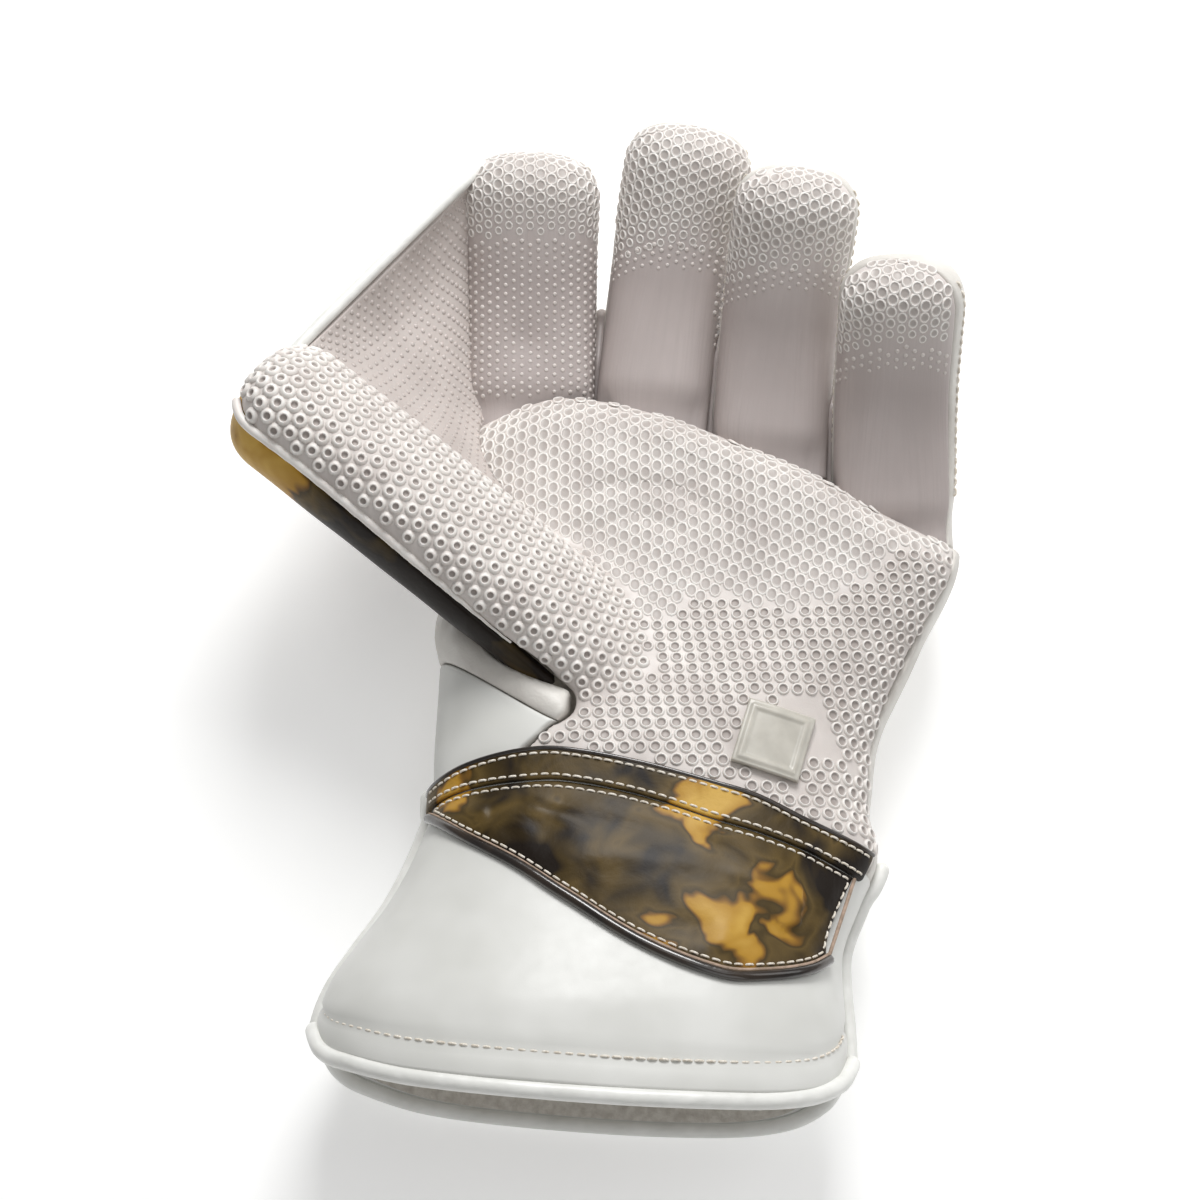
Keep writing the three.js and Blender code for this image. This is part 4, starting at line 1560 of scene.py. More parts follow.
@dataclass(frozen=True)
class PaddedCloth:
    """Lets a padded piece settle like stuffed cloth held along its stitches, so that it creases by itself."""

    cell_mm: float = 4.5
    pressure: float = 4.0
    frames: int = 20
    most_mm: float = 1.5
    held_mm: float = 2.0
    free_mm: float = 9.0

    def settle(self, piece: Piece, held: Array) -> Piece:
        """Runs the simulation on a coarse copy and hands its movement to the piece.

        Args:
            piece: The padded piece.
            held: Points along its stitches, which stay where they are.

        Returns:
            The piece.
        """
        copy = bpy.data.objects.new("settling_copy", piece.data.copy())
        bpy.context.scene.collection.objects.link(copy)
        remeshed(copy, self.cell_mm)
        before = corners_of(copy)
        pins = copy.vertex_groups.new(name="held")
        for index, weight in enumerate(1 - self.freedom(before, held)):
            pins.add([index], float(weight), "REPLACE")
        cloth = copy.modifiers.new("settle", "CLOTH").settings
        cloth.vertex_group_mass = "held"
        cloth.use_pressure = True
        cloth.uniform_pressure_force = self.pressure
        cloth.shrink_min = -0.06
        cloth.effector_weights.gravity = 0
        for frame in range(1, self.frames + 1):
            bpy.context.scene.frame_set(frame)
        applied(copy)
        moved = corners_of(copy) - before
        bpy.context.scene.frame_set(1)
        bpy.data.objects.remove(copy)
        corners = corners_of(piece)
        near = neighbours(before)
        shift = np.zeros_like(corners)
        for row, corner in enumerate(corners.tolist()):
            found = near.find_n(corner, 6)
            weights = np.array([1 / (gap + 0.8) ** 2 for *_, gap in found])
            shift[row] = weights @ moved[[index for _, index, _ in found]] / weights.sum()
        size = np.linalg.norm(shift, axis=-1, keepdims=True)
        shift *= self.most_mm * np.tanh(size / self.most_mm) / np.maximum(size, 1e-6)
        shift *= self.freedom(corners, held)[:, None]
        LOG.info("%s moved up to %.2f mm", piece.name, np.linalg.norm(shift, axis=-1).max())
        piece.data.vertices.foreach_set("co", in_frame(corners + shift).ravel())
        piece.data.update()
        return piece

    def freedom(self, corners: Array, held: Array) -> Array:
        """How freely corners move: not at all on the stitches, fully some way off.

        Args:
            corners: The corners.
            held: Points along the stitches.

        Returns:
            A share for each corner.
        """
        near = neighbours(held)
        gaps = np.array([near.find(corner)[2] for corner in corners.tolist()])
        return smooth((gaps - self.held_mm) / (self.free_mm - self.held_mm))


@dataclass(frozen=True)
class Cup:
    """One moulded cup of the rubber: its radii and heights in millimetres, its ends' dip and its tone, which
    is how much shade is painted into its hollow.
    """

    foot: float = 1.95
    rim: float = 1.2
    height: float = 0.85
    dimple: float = 0.8
    floor: float = 0.3
    dip: float = 0.0
    tone: float = 1.0
    sides: int = 10

    def shape(self) -> Shape:
        """The cup, sunk a little into the skin, with painted shade marked in its hollow and round its foot.

        Returns:
            The cup.
        """
        f, r, h, d = self.foot, self.rim, self.height, self.dimple
        tone, low = self.tone, h * self.floor
        # The last value of each ring is how much painted shade it takes: most in the hollow, some round the
        # foot.
        profile = (
            (f, -0.35, 0.5), (f * 0.93, h * 0.12, 0.4), (lerp(r, f, 0.3), h * 0.72, 0.05), (r, h, 0),
            (lerp(d, r, 0.4), h * 0.93, 0.1), (d, low + h * 0.15, 0.7 * tone), (d * 0.6, low, tone))
        angles = np.linspace(0, 2 * math.pi, self.sides, endpoint=False)
        dips = 1 - self.dip * np.cos(angles) ** 2
        rings = np.array([np.stack([radius * np.cos(angles), radius * np.sin(angles), z * dips], -1)
                          for radius, z, _ in profile])
        made = tube(rings)
        made.shade_marks = np.concatenate([np.repeat([mark for *_, mark in profile], self.sides), [0.5, tone]])
        return made


class CupKind(Enum):
    """The forms of the rubber's cups."""

    PEAKED = Cup(foot=2.15, rim=1.25, height=0.85, dimple=0.8, floor=0.08, tone=1.35)
    OPEN = Cup(foot=2.1, rim=1.5, height=0.7, dimple=1.2, floor=0.08, tone=1.2, sides=12)
    NET = Cup(foot=2.3, rim=1.74, height=0.62, dimple=1.42, floor=0.22, dip=0.45, tone=0.85)
    BUMP = Cup(foot=1.35, rim=0.5, height=0.5, dimple=0.2, floor=0.85, tone=0.1, sides=8)


def cups_at(kind: CupKind, places: Array, normals: Array, scale: Array) -> Shape:
    """Cups of a kind on a surface, turned along the glove.

    Args:
        kind: Their form.
        places: Where they stand.
        normals: The surface's directions there.
        scale: Each one's size along the glove, across it and in height.

    Returns:
        The cups as one mesh.
    """
    along = np.array([[0.0, 1.0, 0.0]]).repeat(len(places), 0)
    return scattered(kind.value.shape(), places, normals, along, scale)


def spread(points: Array, gap: Array) -> Array:
    """Which of the points stay when each that crowds an earlier one is left out.

    Args:
        points: The places, the most wanted first.
        gap: The least distance that each keeps to earlier ones.

    Returns:
        The indices of those that stay.
    """
    cell = float(gap.max())
    grid: dict[tuple[int, int, int], list[int]] = {}
    kept: list[int] = []
    for index, point in enumerate(points):
        home = np.floor(point / cell).astype(int)
        near = [other for dx in (-1, 0, 1) for dy in (-1, 0, 1) for dz in (-1, 0, 1)
                for other in grid.get((home[0] + dx, home[1] + dy, home[2] + dz), ())]
        if near and np.linalg.norm(points[near] - point, axis=1).min() < gap[index]:
            continue
        kept.append(index)
        grid.setdefault(tuple(home.tolist()), []).append(index)
    return np.array(kept, int)


def lattice(line_at: Callable[[float], Array], rows: Array, pitch: Callable[[float], float],
            origin: float = 0.5) -> tuple[Array, Array]:
    """Staggered places along lines across a surface.

    Args:
        line_at: The dense points of the line across the surface at a row's way.
        rows: The rows' ways.
        pitch: The spacing along the line at a row's way.
        origin: Which share of each line the places are counted from.

    Returns:
        The places and each one's spacing.
    """
    places, sizes = [], []
    for number, way in enumerate(rows.tolist()):
        line = line_at(way)
        measure = measured(line)
        step = pitch(way)
        start = measure[-1] * origin + step * 0.5 * (number % 2)
        counts = np.arange(math.ceil(-start / step), math.floor((measure[-1] - start) / step) + 1)
        at = start + counts * step
        places.append(sampled(line, measure, at))
        sizes.append(np.full(len(at), step))
    return np.concatenate(places), np.concatenate(sizes)


def even_ways(line: Curve, gap: Callable[[float], float], low: float, high: float) -> Array:
    """Ways along a line at which rows lie evenly apart.

    Args:
        line: The points for dense ways.
        gap: How far apart two rows are at a way, in millimetres.
        low: The first way.
        high: The last way.

    Returns:
        The ways.
    """
    dense = np.linspace(low, high, 600)
    measure = measured(line(dense))
    ways, at = [], 0.0
    while at < measure[-1]:
        way = float(np.interp(at, measure, dense))
        ways.append(way)
        at += float(gap(way))
    return np.array(ways)


@dataclass
class Stitching:
    """Rows of lock stitches; sizes in millimetres."""

    length: float = 2.4
    gap: float = 1.0
    thickness: float = 0.75

    def template(self) -> Shape:
        """One stitch along x: a short bowed thread that dips into its holes.

        Returns:
            The stitch.
        """
        turns = np.linspace(-1, 1, 7)
        line = np.stack([turns * self.length / 2, 0 * turns, self.thickness * (0.35 - 0.75 * turns**4)], -1)
        return bead(line, self.thickness / 2, 7)

    def row(self, line: Array, up: Array) -> Shape:
        """Stitches along a dense line of points with the surface's directions.

        Args:
            line: The points.
            up: The directions.

        Returns:
            The stitches.
        """
        measure = measured(line)
        count = max(int(measure[-1] / (self.length + self.gap)), 1)
        at = (np.arange(count) + 0.5) * measure[-1] / count
        places, normals = sampled(line, measure, at), sampled(up, measure, at)
        ahead = sampled(line, measure, at + 0.5) - places
        return scattered(self.template(), places, unit(normals), unit(ahead), np.ones((count, 3)))


STITCHING = Stitching()


def hand_row(angles: Array, line: Curve, grow: float) -> Shape:
    """A row of stitches where a line crosses the hand or cuff, standing off it by a distance."""
    points, y = FORM.hand.at_line(angles, line, grow)
    return STITCHING.row(points, FORM.hand.normal(angles, y))


def raised(sheet: Sheet, grow: float) -> Sheet:
    """The sheet, standing off by a distance."""
    return lambda s, t, g: sheet(s, t, g + grow)


def steady(value: float) -> Curve:
    """A curve that always gives one value."""
    return lambda y: value + 0 * y


def shifted(line: Curve, distance: float) -> Curve:
    """A line moved along the glove by a distance."""
    return lambda x: line(x) + distance


def hand_solid(grow: float, low: float) -> Shape:
    """The closed form of the hand from a place along it to past the crease, grown by a distance.

    Args:
        grow: The distance.
        low: The place along it.

    Returns:
        The solid.
    """
    angles = np.linspace(0, 2 * math.pi, 96, endpoint=False)
    _, crease = FORM.hand.at_line(angles, FORM.hand.crease, grow)
    rows = np.linspace(0, 1, 40)[:, None]
    return tube(FORM.hand.point(angles[None], lerp(low, crease + 1, rows), grow))


def stall_solid(stall: Stall, grow: float) -> Shape:
    """The closed form of a stall, grown by a distance."""
    angles = np.linspace(-math.pi, math.pi, 64, endpoint=False) + 0.01
    return tube(stall.point(angles[None], np.linspace(0, 0.995, 60)[:, None], grow))


@dataclass
class RubberPalm:
    """The padded rubber of palm and thumb: one moulding that blends at the thumb's root, covered in cups."""

    finishes: Finishes
    voxel: float = 1.3
    blend: float = 13
    blend_rounds: int = 80
    step: float = 2.4
    edge: float = 2.2
    little_side_angle: float = 0.3
    gusset_angles: tuple[float, float] = (2.1, 1.85)
    lip_wall: float = 2.6
    thumb_pitch: float = 5.1
    open_pitch: tuple[float, float] = (4.9, 4.4)
    net_column: float = 3.85
    net_row: float = 4.5
    net_from: float = 62
    clear: float = 1.6
    skin_depth: float = 1.9

    def palm_wall(self) -> Shape:
        """The palm's own wall, thinner towards its lip.

        Returns:
            The wall.
        """
        hand, gap = FORM.hand, SIZES.seam_gap / 2
        sheet = hand.panel(steady(self.little_side_angle), lambda y: math.pi - hand.angle_off(gap, y),
                           shifted(hand.joint, gap), hand.crease)
        thick = lambda s, t, p: lerp(SIZES.palm_wall, self.lip_wall, smooth((t - 0.84) / 0.12))
        hills = lambda s, t, p: 0.9 * ripple(p, 30, 3) + 0.4 * ripple(p, 13, 5) - self.folds(p)
        return wall(sheet, self.step, thick, self.edge, hills)

    @staticmethod
    def folds(points: Array) -> Array:
        """The depth of the palm's soft creases: short arcs round its middle and one from the thumb's root.

        Args:
            points: The points.

        Returns:
            The depth at each point.
        """
        x, y = points[..., 0], points[..., 1]
        from_middle = np.hypot((x + 6) / 1.25, y - 84)
        outer_arc = np.exp(-((from_middle - 27) / 2.6) ** 2) * smooth((y - 92) / 10)
        inner_arc = 0.7 * np.exp(-((from_middle - 15) / 2.2) ** 2)
        crease = np.exp(-((y - 96 + 0.9 * (x + 40)) / 3) ** 2) * smooth(1.4 - np.abs(x + 36) / 12)
        return 0.9 * (outer_arc + inner_arc) + 1.6 * crease

    def thumb_wall(self) -> Shape:
        """The thumb's face."""
        hills = lambda s, t, p: 0.35 * ripple(p, 24, 8)
        return wall(FORM.thumb.half(True), self.step, SIZES.thumb_wall, 1.6, hills)

    @classmethod
    def gusset_edge(cls, y: Array) -> Array:
        """The angle at which the palm's rubber ends at the gusset."""
        return lerp(*cls.gusset_angles, smooth((y / SIZES.hand_length - 0.08) / 0.12))

    def gusset_tool(self) -> Shape:
        """What is cut from the palm for the gusset and the side panel.

        Returns:
            The tool.
        """
        hand = FORM.hand
        sheet = hand.panel(self.gusset_edge, steady(math.pi + 0.2),
                           shifted(hand.joint, -SIZES.palm_wall), hand.gusset_top)
        return wall(raised(sheet, SIZES.palm_wall), 2, SIZES.palm_wall * 2.5, 0.4)

    def skin(self) -> Piece:
        """Palm and thumb as one blended skin.

        Returns:
            The skin.
        """
        rubber, lining = self.finishes.skin, self.finishes.lining
        walls = [self.palm_wall(), self.thumb_wall()]
        palm = place(SKIN, walls[0], rubber)
        cut(palm, stall_solid(FORM.thumb, -SIZES.thumb_wall))
        cut(palm, self.gusset_tool())
        thumb = place("thumb_part", walls[1], rubber)
        cut(thumb, hand_solid(-SIZES.palm_wall * 0.7, -20))
        both = bmesh.new()
        both.from_mesh(palm.data)
        both.from_mesh(thumb.data)
        both.to_mesh(palm.data)
        both.free()
        bpy.data.objects.remove(thumb)
        smoothed(remeshed(palm, self.voxel), 4)
        corners = corners_of(palm)
        gaps = [Touch(shape.corners, shape.faces).nearest(corners)[2] for shape in walls]
        smoothed(palm, self.blend_rounds, smooth(1.15 - np.maximum(*gaps) / self.blend))
        outer = [Touch(shape.corners, [f for f, inside in zip(shape.faces, shape.inner) if not inside])
                 for shape in walls]
        centres = np.array([face.center for face in palm.data.polygons]) / MM - SHIFT
        depth = np.minimum(*[touch.nearest(centres)[2] for touch in outer])
        palm.data.materials.clear()
        for finish in (rubber, lining):
            palm.data.materials.append(finish)
        palm.data.polygons.foreach_set("material_index", (depth > self.skin_depth).astype(int))
        return palm

    def on_palm(self, points: Array) -> Array:
        """Which points lie on the palm's bare rubber.

        Args:
            points: The points.

        Returns:
            True for those that do.
        """
        hand = FORM.hand
        x, y = points[:, 0], points[:, 1]
        edge_x = hand.point(self.gusset_edge(y), y)[:, 0]
        in_gusset = (x < edge_x + self.clear) & (y < hand.gusset_top(x) + 1)
        off_ends = (y < hand.band_top(x) + self.clear) | (y > hand.crease(x) - 1.2)
        u, v = Badge.within(x, y)
        on_badge = np.maximum(np.abs(u), np.abs(v)) < SIZES.badge_size / 2 + self.clear
        bare_strip = (u > 0) & (v > 0) & (u + v < SIZES.badge_size * 1.25) & (v < SIZES.badge_size * 0.85)
        return ~(in_gusset | off_ends | on_badge | bare_strip)

    def open_places(self) -> tuple[Array, Array]:
        """Where the lower palm's open cups stand, and their sizes.

        Returns:
            The places and the sizes.
        """
        hand = FORM.hand
        pitch = lambda y: float(lerp(*self.open_pitch, smooth(y / self.net_from)))
        angles = np.linspace(self.little_side_angle + 0.06, math.pi - 0.05, 160)
        ends = (self.net_from + 24, -24)
        rows = even_ways(lambda y: np.stack([0 * y, y, 0 * y], -1), lambda y: pitch(y) * HEXAGON, *ends)
        points, sizes = lattice(lambda y: hand.point(angles, y), rows, pitch, 0.22)
        shown = self.on_palm(points) & (points[:, 1] < self.net_from + 4 + self.wave(points[:, 0]))
        return points[shown], sizes[shown]

    def net_places(self) -> Array:
        """Where the upper palm's net of drawn-out cups lies.

        Returns:
            The places.
        """
        hand = FORM.hand
        angles = np.linspace(self.little_side_angle + 0.06, math.pi - 0.05, 160)
        ends = (self.net_from - 16, SIZES.hand_length)
        rows = even_ways(lambda y: np.stack([0 * y, y, 0 * y], -1), steady(self.net_row / 2), *ends)
        points, _ = lattice(lambda y: hand.point(angles, y - 1.0), rows, steady(self.net_column * 2), 0.3)
        shown = self.on_palm(points) & (points[:, 1] > self.net_from + self.wave(points[:, 0]))
        return points[shown]

    @staticmethod
    def wave(x: Array) -> Array:
        """The uneven line across the palm where its two patterns meet."""
        return 6 * np.sin(x / 11.0) + 0.22 * (x - 10)

    def thumb_places(self) -> Array:
        """Where the thumb's peaked cups stand.

        Returns:
            The places.
        """
        thumb = FORM.thumb
        angles = np.linspace(0.14, math.pi - 0.17, 120)
        gap = steady(self.thumb_pitch * HEXAGON)
        rows = even_ways(lambda way: thumb.point(math.pi / 2, way), gap, 0.06, 0.985)
        return lattice(lambda way: thumb.point(angles, way), rows, steady(self.thumb_pitch))[0]

    def cups(self, skin: Piece) -> dict[str, Shape]:
        """The cups of the thumb and of both parts of the palm, set on the blended skin.

        Args:
            skin: The blended skin.

        Returns:
            The cups by their pieces' names.
        """
        touch = Touch.on(skin)
        on_thumb, on_net = self.thumb_places(), self.net_places()
        on_open, open_sizes = self.open_places()
        points = np.concatenate([on_thumb, on_net, on_open])
        kind = np.repeat([0, 1, 2], [len(on_thumb), len(on_net), len(on_open)])
        sizes = np.concatenate([np.full(len(on_thumb), self.thumb_pitch), np.full(len(on_net), self.net_row),
                                open_sizes])
        places, normals, gaps = touch.nearest(points)
        hidden = (gaps > np.where(kind == 0, 3.6, 4.0)) | (normals[:, 2] < np.where(kind == 0, -0.6, 0.05))
        points, sizes, places, normals, kind = (v[~hidden] for v in (points, sizes, places, normals, kind))
        kept = spread(places, sizes * 0.74)
        places, normals, sizes, kind = (v[kept] for v in (places, normals, sizes, kind))
        scale = np.ones((len(places), 3)) * (sizes / 4.7)[:, None]
        tip = smooth((-places[:, 0] - 95) / 20)
        scale[kind == 0] *= (1.08 + 0.14 * tip[kind == 0])[:, None]
        scale[kind == 1] = (1.3, 1.0, 1.0)
        scale[kind == 2] *= 1.12
        names = {"thumb_cups": CupKind.PEAKED, "palm_net": CupKind.NET, "palm_cups": CupKind.OPEN}
        return {name: cups_at(form, places[kind == k], normals[kind == k], scale[kind == k])
                for k, (name, form) in enumerate(names.items())}

    def build(self) -> None:
        """Builds the skin and its cups."""
        skin = self.skin()
        keep(skin, Slot.RUBBER, "palm", "thumb_front", fill=0.7)
        for name, shape in self.cups(skin).items():
            keep(place(name, shape, self.finishes.rubber, seal=False), Slot.RUBBER)


@dataclass
class FingerStalls:
    """The four finger stalls: a rubber face with a cupped cap, and a leather back."""

    finishes: Finishes
    start: float = 0.05
    step: float = 2.0
    wall: float = 3.2
    edge: float = 1.5
    column: float = 3.6
    row: float = 3.9
    finer: float = 0.78
    lip_wall: float = 2.6
    dent: tuple[float, float] = (-42, 166)
    dent_depth: float = 1.5
    fades: dict[str, tuple[float, float]] = field(default_factory=lambda: {
        "index": (12, 40), "middle": (22, 52), "ring": (17, 40), "little": (13, 33)})

    def tuck(self, finger: Finger, s: Array, t: Array) -> Array:
        """How far a face's root dips under the palm's lip; outer sides dip under the hand's sides.

        Args:
            finger: The finger.
            s: The share of the way round the face.
            t: The share of the way along it.

        Returns:
            The dip in millimetres.
        """
        at_root = 1 - smooth((t - 0.07) / 0.08)
        over = smooth(1.6 * np.sin(math.pi * s) - 0.2)
        sides = {"index": smooth((s - 0.8) / 0.15), "little": smooth((0.2 - s) / 0.15)}
        outer = sides.get(finger.name, 0 * s)
        return at_root * (self.lip_wall * over + 1.4 * outer * (1 - over))

    def half(self, finger: Finger, front: bool) -> Piece:
        """A stall's rubber face, which dips under the palm's lip and has a shallow dent, or its leather back.

        Args:
            finger: The finger.
            front: Whether it is the face.

        Returns:
            The piece.
        """
        dent = self.dent_depth if finger.name == "index" else 0.0
        pressed = lambda p: dent * np.exp(-((p[..., :2] - self.dent) ** 2).sum(-1) / 40)
        rubber = lambda s, t, p: 0.15 * ripple(p, 24, 11) - self.tuck(finger, s, t) - pressed(p)
        leather = lambda s, t, p: 0.2 * ripple(p, 12, 12) - 1.2 * (1 - smooth((t - 0.1) / 0.09))
        sheet = FORM.stalls[finger.name].half(front, self.start, finger.wrap)
        shape = wall(sheet, self.step, self.wall, self.edge, rubber if front else leather)
        part, finish = ("face", self.finishes.worn) if front else ("leather_back", self.finishes.leather)
        return place(f"{finger.name}_{part}", shape, finish, self.finishes.lining)

    def cups(self, finger: Finger, face: Piece) -> tuple[Shape, Shape]:
        """A net of cups over a stall's cap that breaks up into small bumps towards its shaft.

        Args:
            finger: The finger.
            face: The stall's face that they stand on.

        Returns:
            The net and the bumps.
        """
        touch = Touch.on(face)
        places, normals, size = self.grid(finger, touch, 1.0)
        kept = size > 0.42
        size = size[kept]
        net = np.stack([0.3 + 0.82 * size, 0.3 + 0.65 * size, 0.95 * size**1.3], -1)
        net = cups_at(CupKind.NET, places[kept], normals[kept], net)
        places, normals, size = self.grid(finger, touch, self.finer)
        kept = (size > 0.1) & (size < 0.42)
        bump = (0.45 + 0.7 * size[kept])[:, None] * (1, 1, 1)
        return net, cups_at(CupKind.BUMP, places[kept], normals[kept], bump)

    def grid(self, finger: Finger, touch: Touch, part: float) -> tuple[Array, Array, Array]:
        """Staggered places over a stall's cap and shaft.

        Args:
            finger: The finger.
            touch: The stall's face that they stand on.
            part: Their spacing as a share of the net's.

        Returns:
            The places, the surface's directions there and how large the cups are, from 0 to 1.
        """
        stall = FORM.stalls[finger.name]
        angles = np.linspace(finger.wrap + 0.1, math.pi - 0.1, 100)
        rows = even_ways(lambda way: stall.point(math.pi / 2, way), steady(self.row * part / 2), 0.15, 0.985)
        points, _ = lattice(lambda way: stall.point(angles, way), rows, steady(self.column * part * 2))
        places, normals, _ = touch.nearest(points)
        near, far = self.fades[finger.name]
        size = smooth((far - points[:, 1].max() + points[:, 1]) / (far - near))
        middle = (points[:, 0].max() + points[:, 0].min()) / 2
        if finger.name == "index":
            at_side = smooth(np.abs(points[:, 0] - middle) / finger.tip_width * 2.6 - 0.2)
            size = np.maximum(size, 0.2 + 0.2 * at_side)
        elif finger.name == "middle":
            size = np.maximum(size, np.where(points[:, 0] > middle + finger.tip_width * 0.34, 0.41, 0))
        shown = np.nonzero(places[:, 1] > FORM.hand.crease(places[:, 0]) + 1.5)[0]
        shown = shown[spread(places[shown], np.full(len(shown), self.column * part * 0.8))]
        return places[shown], normals[shown], size[shown]

    def seam(self, finger: Finger) -> Shape:
        """The stitches along a stall's back, beside its seam.

        Args:
            finger: The finger.

        Returns:
            The stitches.
        """
        stall = FORM.stalls[finger.name]
        ways = np.linspace(0.2, 0.8, 160)
        rows = []
        for angle in (finger.wrap - 0.32, -math.pi + 0.32):
            line = stall.point(angle, ways)
            rows.append(STITCHING.row(line, stall.point(angle, ways, 1.0) - line))
        return Shape.joined(rows)

    def fold(self, left: Finger, right: Finger) -> Shape:
        """The soft fold that fills the slit between two fingers' roots.

        Args:
            left: One finger.
            right: The finger beside it.

        Returns:
            The fold.
        """
        ways = np.linspace(0.03, 0.4, 80)
        one, other = FORM.stalls[left.name].point(0.0, ways), FORM.stalls[right.name].point(math.pi, ways)
        other = sampled(other, other[:, 1], one[:, 1])
        gaps = np.linalg.norm(other - one, axis=-1)
        middle = (one + other) / 2
        middle[:, 2] -= 1.2 + 9 * smooth((ways - 0.24) / 0.16)
        return bead(middle, np.clip(gaps / 2 + 0.7, 0.9, 2.6))

    def build(self) -> None:
        """Builds each finger's pieces and the folds between them."""
        # The folds have no surface coordinate, so they take the worn finish's darkest root tone: painted
        # shade in the slits between the fingers.
        for left, right in zip(FINGERS, FINGERS[1:]):
            name = f"{left.name}_to_{right.name}_fold"
            keep(place(name, self.fold(left, right), self.finishes.worn), Slot.RUBBER)
        for finger in FINGERS:
            face = keep(self.half(finger, True), Slot.RUBBER, f"{finger.name}_front", fill=0.7)
            net, bumps = self.cups(finger, face)
            keep(place(f"{finger.name}_cups", net, self.finishes.rubber, seal=False), Slot.RUBBER)
            keep(place(f"{finger.name}_bumps", bumps, self.finishes.skin, seal=False), Slot.RUBBER)
            keep(self.half(finger, False), Slot.LEATHER, f"{finger.name}_back", fill=0.5)
            keep(place(f"{finger.name}_stitches", self.seam(finger), self.finishes.thread, seal=False),
                 Slot.LEATHER)


@dataclass
class ThumbBack:
    """The thumb's marbled patent back and the rolled edge between it and the rubber."""

    finishes: Finishes
    step: float = 2.0
    wall: float = 3.0

    def build(self) -> None:
        """Builds the back and the rolled edge."""
        thumb = FORM.thumb
        creases = lambda s, t, p: 0.35 * ripple(p, 16, 21)
        back = place("thumb_patent_back", wall(thumb.half(False), self.step, self.wall, 1.2, creases),
                     self.finishes.thumb_patent, self.finishes.lining)
        cut(back, hand_solid(SIZES.seam_gap, -40))
        keep(back, Slot.PATENT, "thumb_back", fill=0.6)
        ways = np.linspace(0.24, 0.86, 90)
        radius = SIZES.thumb_bead * (0.25 + 0.75 * smooth((ways - 0.24) / 0.2))
        line = thumb.point(math.pi, ways, SIZES.thumb_bead * 0.6)
        on_skin, _, _ = Touch.on(bpy.data.objects[SKIN]).nearest(line)
        line = lerp(line, on_skin, 0.7 * (1 - smooth((ways - 0.6) / 0.2))[:, None])
        edge = place("thumb_rolled_edge", bead(line, radius), self.finishes.rubber)
        keep(edge, Slot.BINDING, "thumb_bead")


@dataclass
class Web:
    """The hollowed rubber web between thumb and index finger, with its small bumps and bound edge."""

    finishes: Finishes
    pitch: float = 3.7

    def build(self) -> None:
        """Builds the web, its bumps and its binding."""
        sheet = raised(FORM.web, SIZES.web_wall / 2)
        hills = lambda s, t, p: 0.3 * ripple(p, 18, 31)
        web = place("web_rubber", wall(sheet, 2.0, SIZES.web_wall, 1.2, hills), self.finishes.web)
        cut(web, hand_solid(SIZES.seam_gap, -40))
        keep(web, Slot.RUBBER, "web", fill=0.5)
        s = np.linspace(0.04, 0.98, 90)
        rows = even_ways(lambda t: sheet(0 * t + 0.5, t, 0 * t), steady(self.pitch * HEXAGON), 0.04, 0.97)
        points, _ = lattice(lambda t: sheet(s, 0 * s + t, 0 * s), rows, steady(self.pitch))
        places, normals, gaps = Touch.on(web).nearest(points)
        near = gaps < 1
        places, normals = places[near], normals[near]
        bumps = cups_at(CupKind.BUMP, places, normals, np.full((len(places), 3), 0.75))
        keep(place("web_bumps", bumps, self.finishes.web, seal=False), Slot.RUBBER)
        across = np.linspace(0.0, 1.0, 60)
        edge, inside = (FORM.web(across, 0 * across + t, 0 * across) for t in (1.0, 0.96))
        line = edge + unit(edge - inside) * (SIZES.web_binding + SIZES.seam_gap)
        keep(place("web_edge_binding", bead(line, SIZES.web_binding), self.finishes.binding),
             Slot.BINDING, "web_binding")


@dataclass
class HandLeather:
    """The leather back of the hand, the panel below the thumb and the padded gusset roll."""

    finishes: Finishes
    step: float = 2.4
    wall: float = 3.2

    def build(self) -> None:
        """Builds the three leather pieces."""
        hand, gap = FORM.hand, SIZES.seam_gap / 2
        side = lambda y: math.pi - hand.angle_off(gap, y)
        waves = lambda s, t, p: 0.5 * ripple(p, 26, 41)
        start, end = RubberPalm.little_side_angle - 0.018, lambda y: -math.pi - hand.angle_off(-gap, y)
        sheet = hand.panel(steady(start), end, shifted(hand.joint, gap), hand.crease)
        shape = wall(sheet, 2.8, SIZES.back_wall, 1.4, waves)
        back = place("hand_leather_back", shape, self.finishes.leather, self.finishes.lining)
        cut(back, stall_solid(FORM.thumb, -SIZES.thumb_wall))
        keep(back, Slot.LEATHER, "hand_back", fill=0.5)
        start = lambda y: RubberPalm.gusset_edge(y) + 0.02
        low = hand.panel(start, side, shifted(hand.joint, gap), shifted(hand.gusset_seam, -gap))
        shape = wall(low, self.step, self.wall, 1.2, waves)
        panel = place("side_leather_panel", shape, self.finishes.cuff, self.finishes.lining)
        keep(panel, Slot.LEATHER, "side_panel", fill=0.3)
        high = hand.panel(start, side, shifted(hand.gusset_seam, gap), shifted(hand.gusset_top, -gap))
        swell = lambda s, t, p: SIZES.gusset_roll * np.sin(math.pi * t) + 0.4 * ripple(p, 15, 43)
        shape = wall(high, self.step, self.wall, 1.2, swell)
        roll = place("thumb_gusset_roll", shape, self.finishes.leather, self.finishes.lining)
        cut(roll, stall_solid(FORM.thumb, SIZES.seam_gap))
        angles = np.linspace(1.7, math.pi, 60)
        seams = [hand.at_line(angles, seam, 0)[0] for seam in (hand.gusset_seam, hand.gusset_top)]
        PaddedCloth(most_mm=1.0).settle(roll, np.concatenate(seams))
        keep(roll, Slot.LEATHER, "thumb_gusset", fill=0.8)


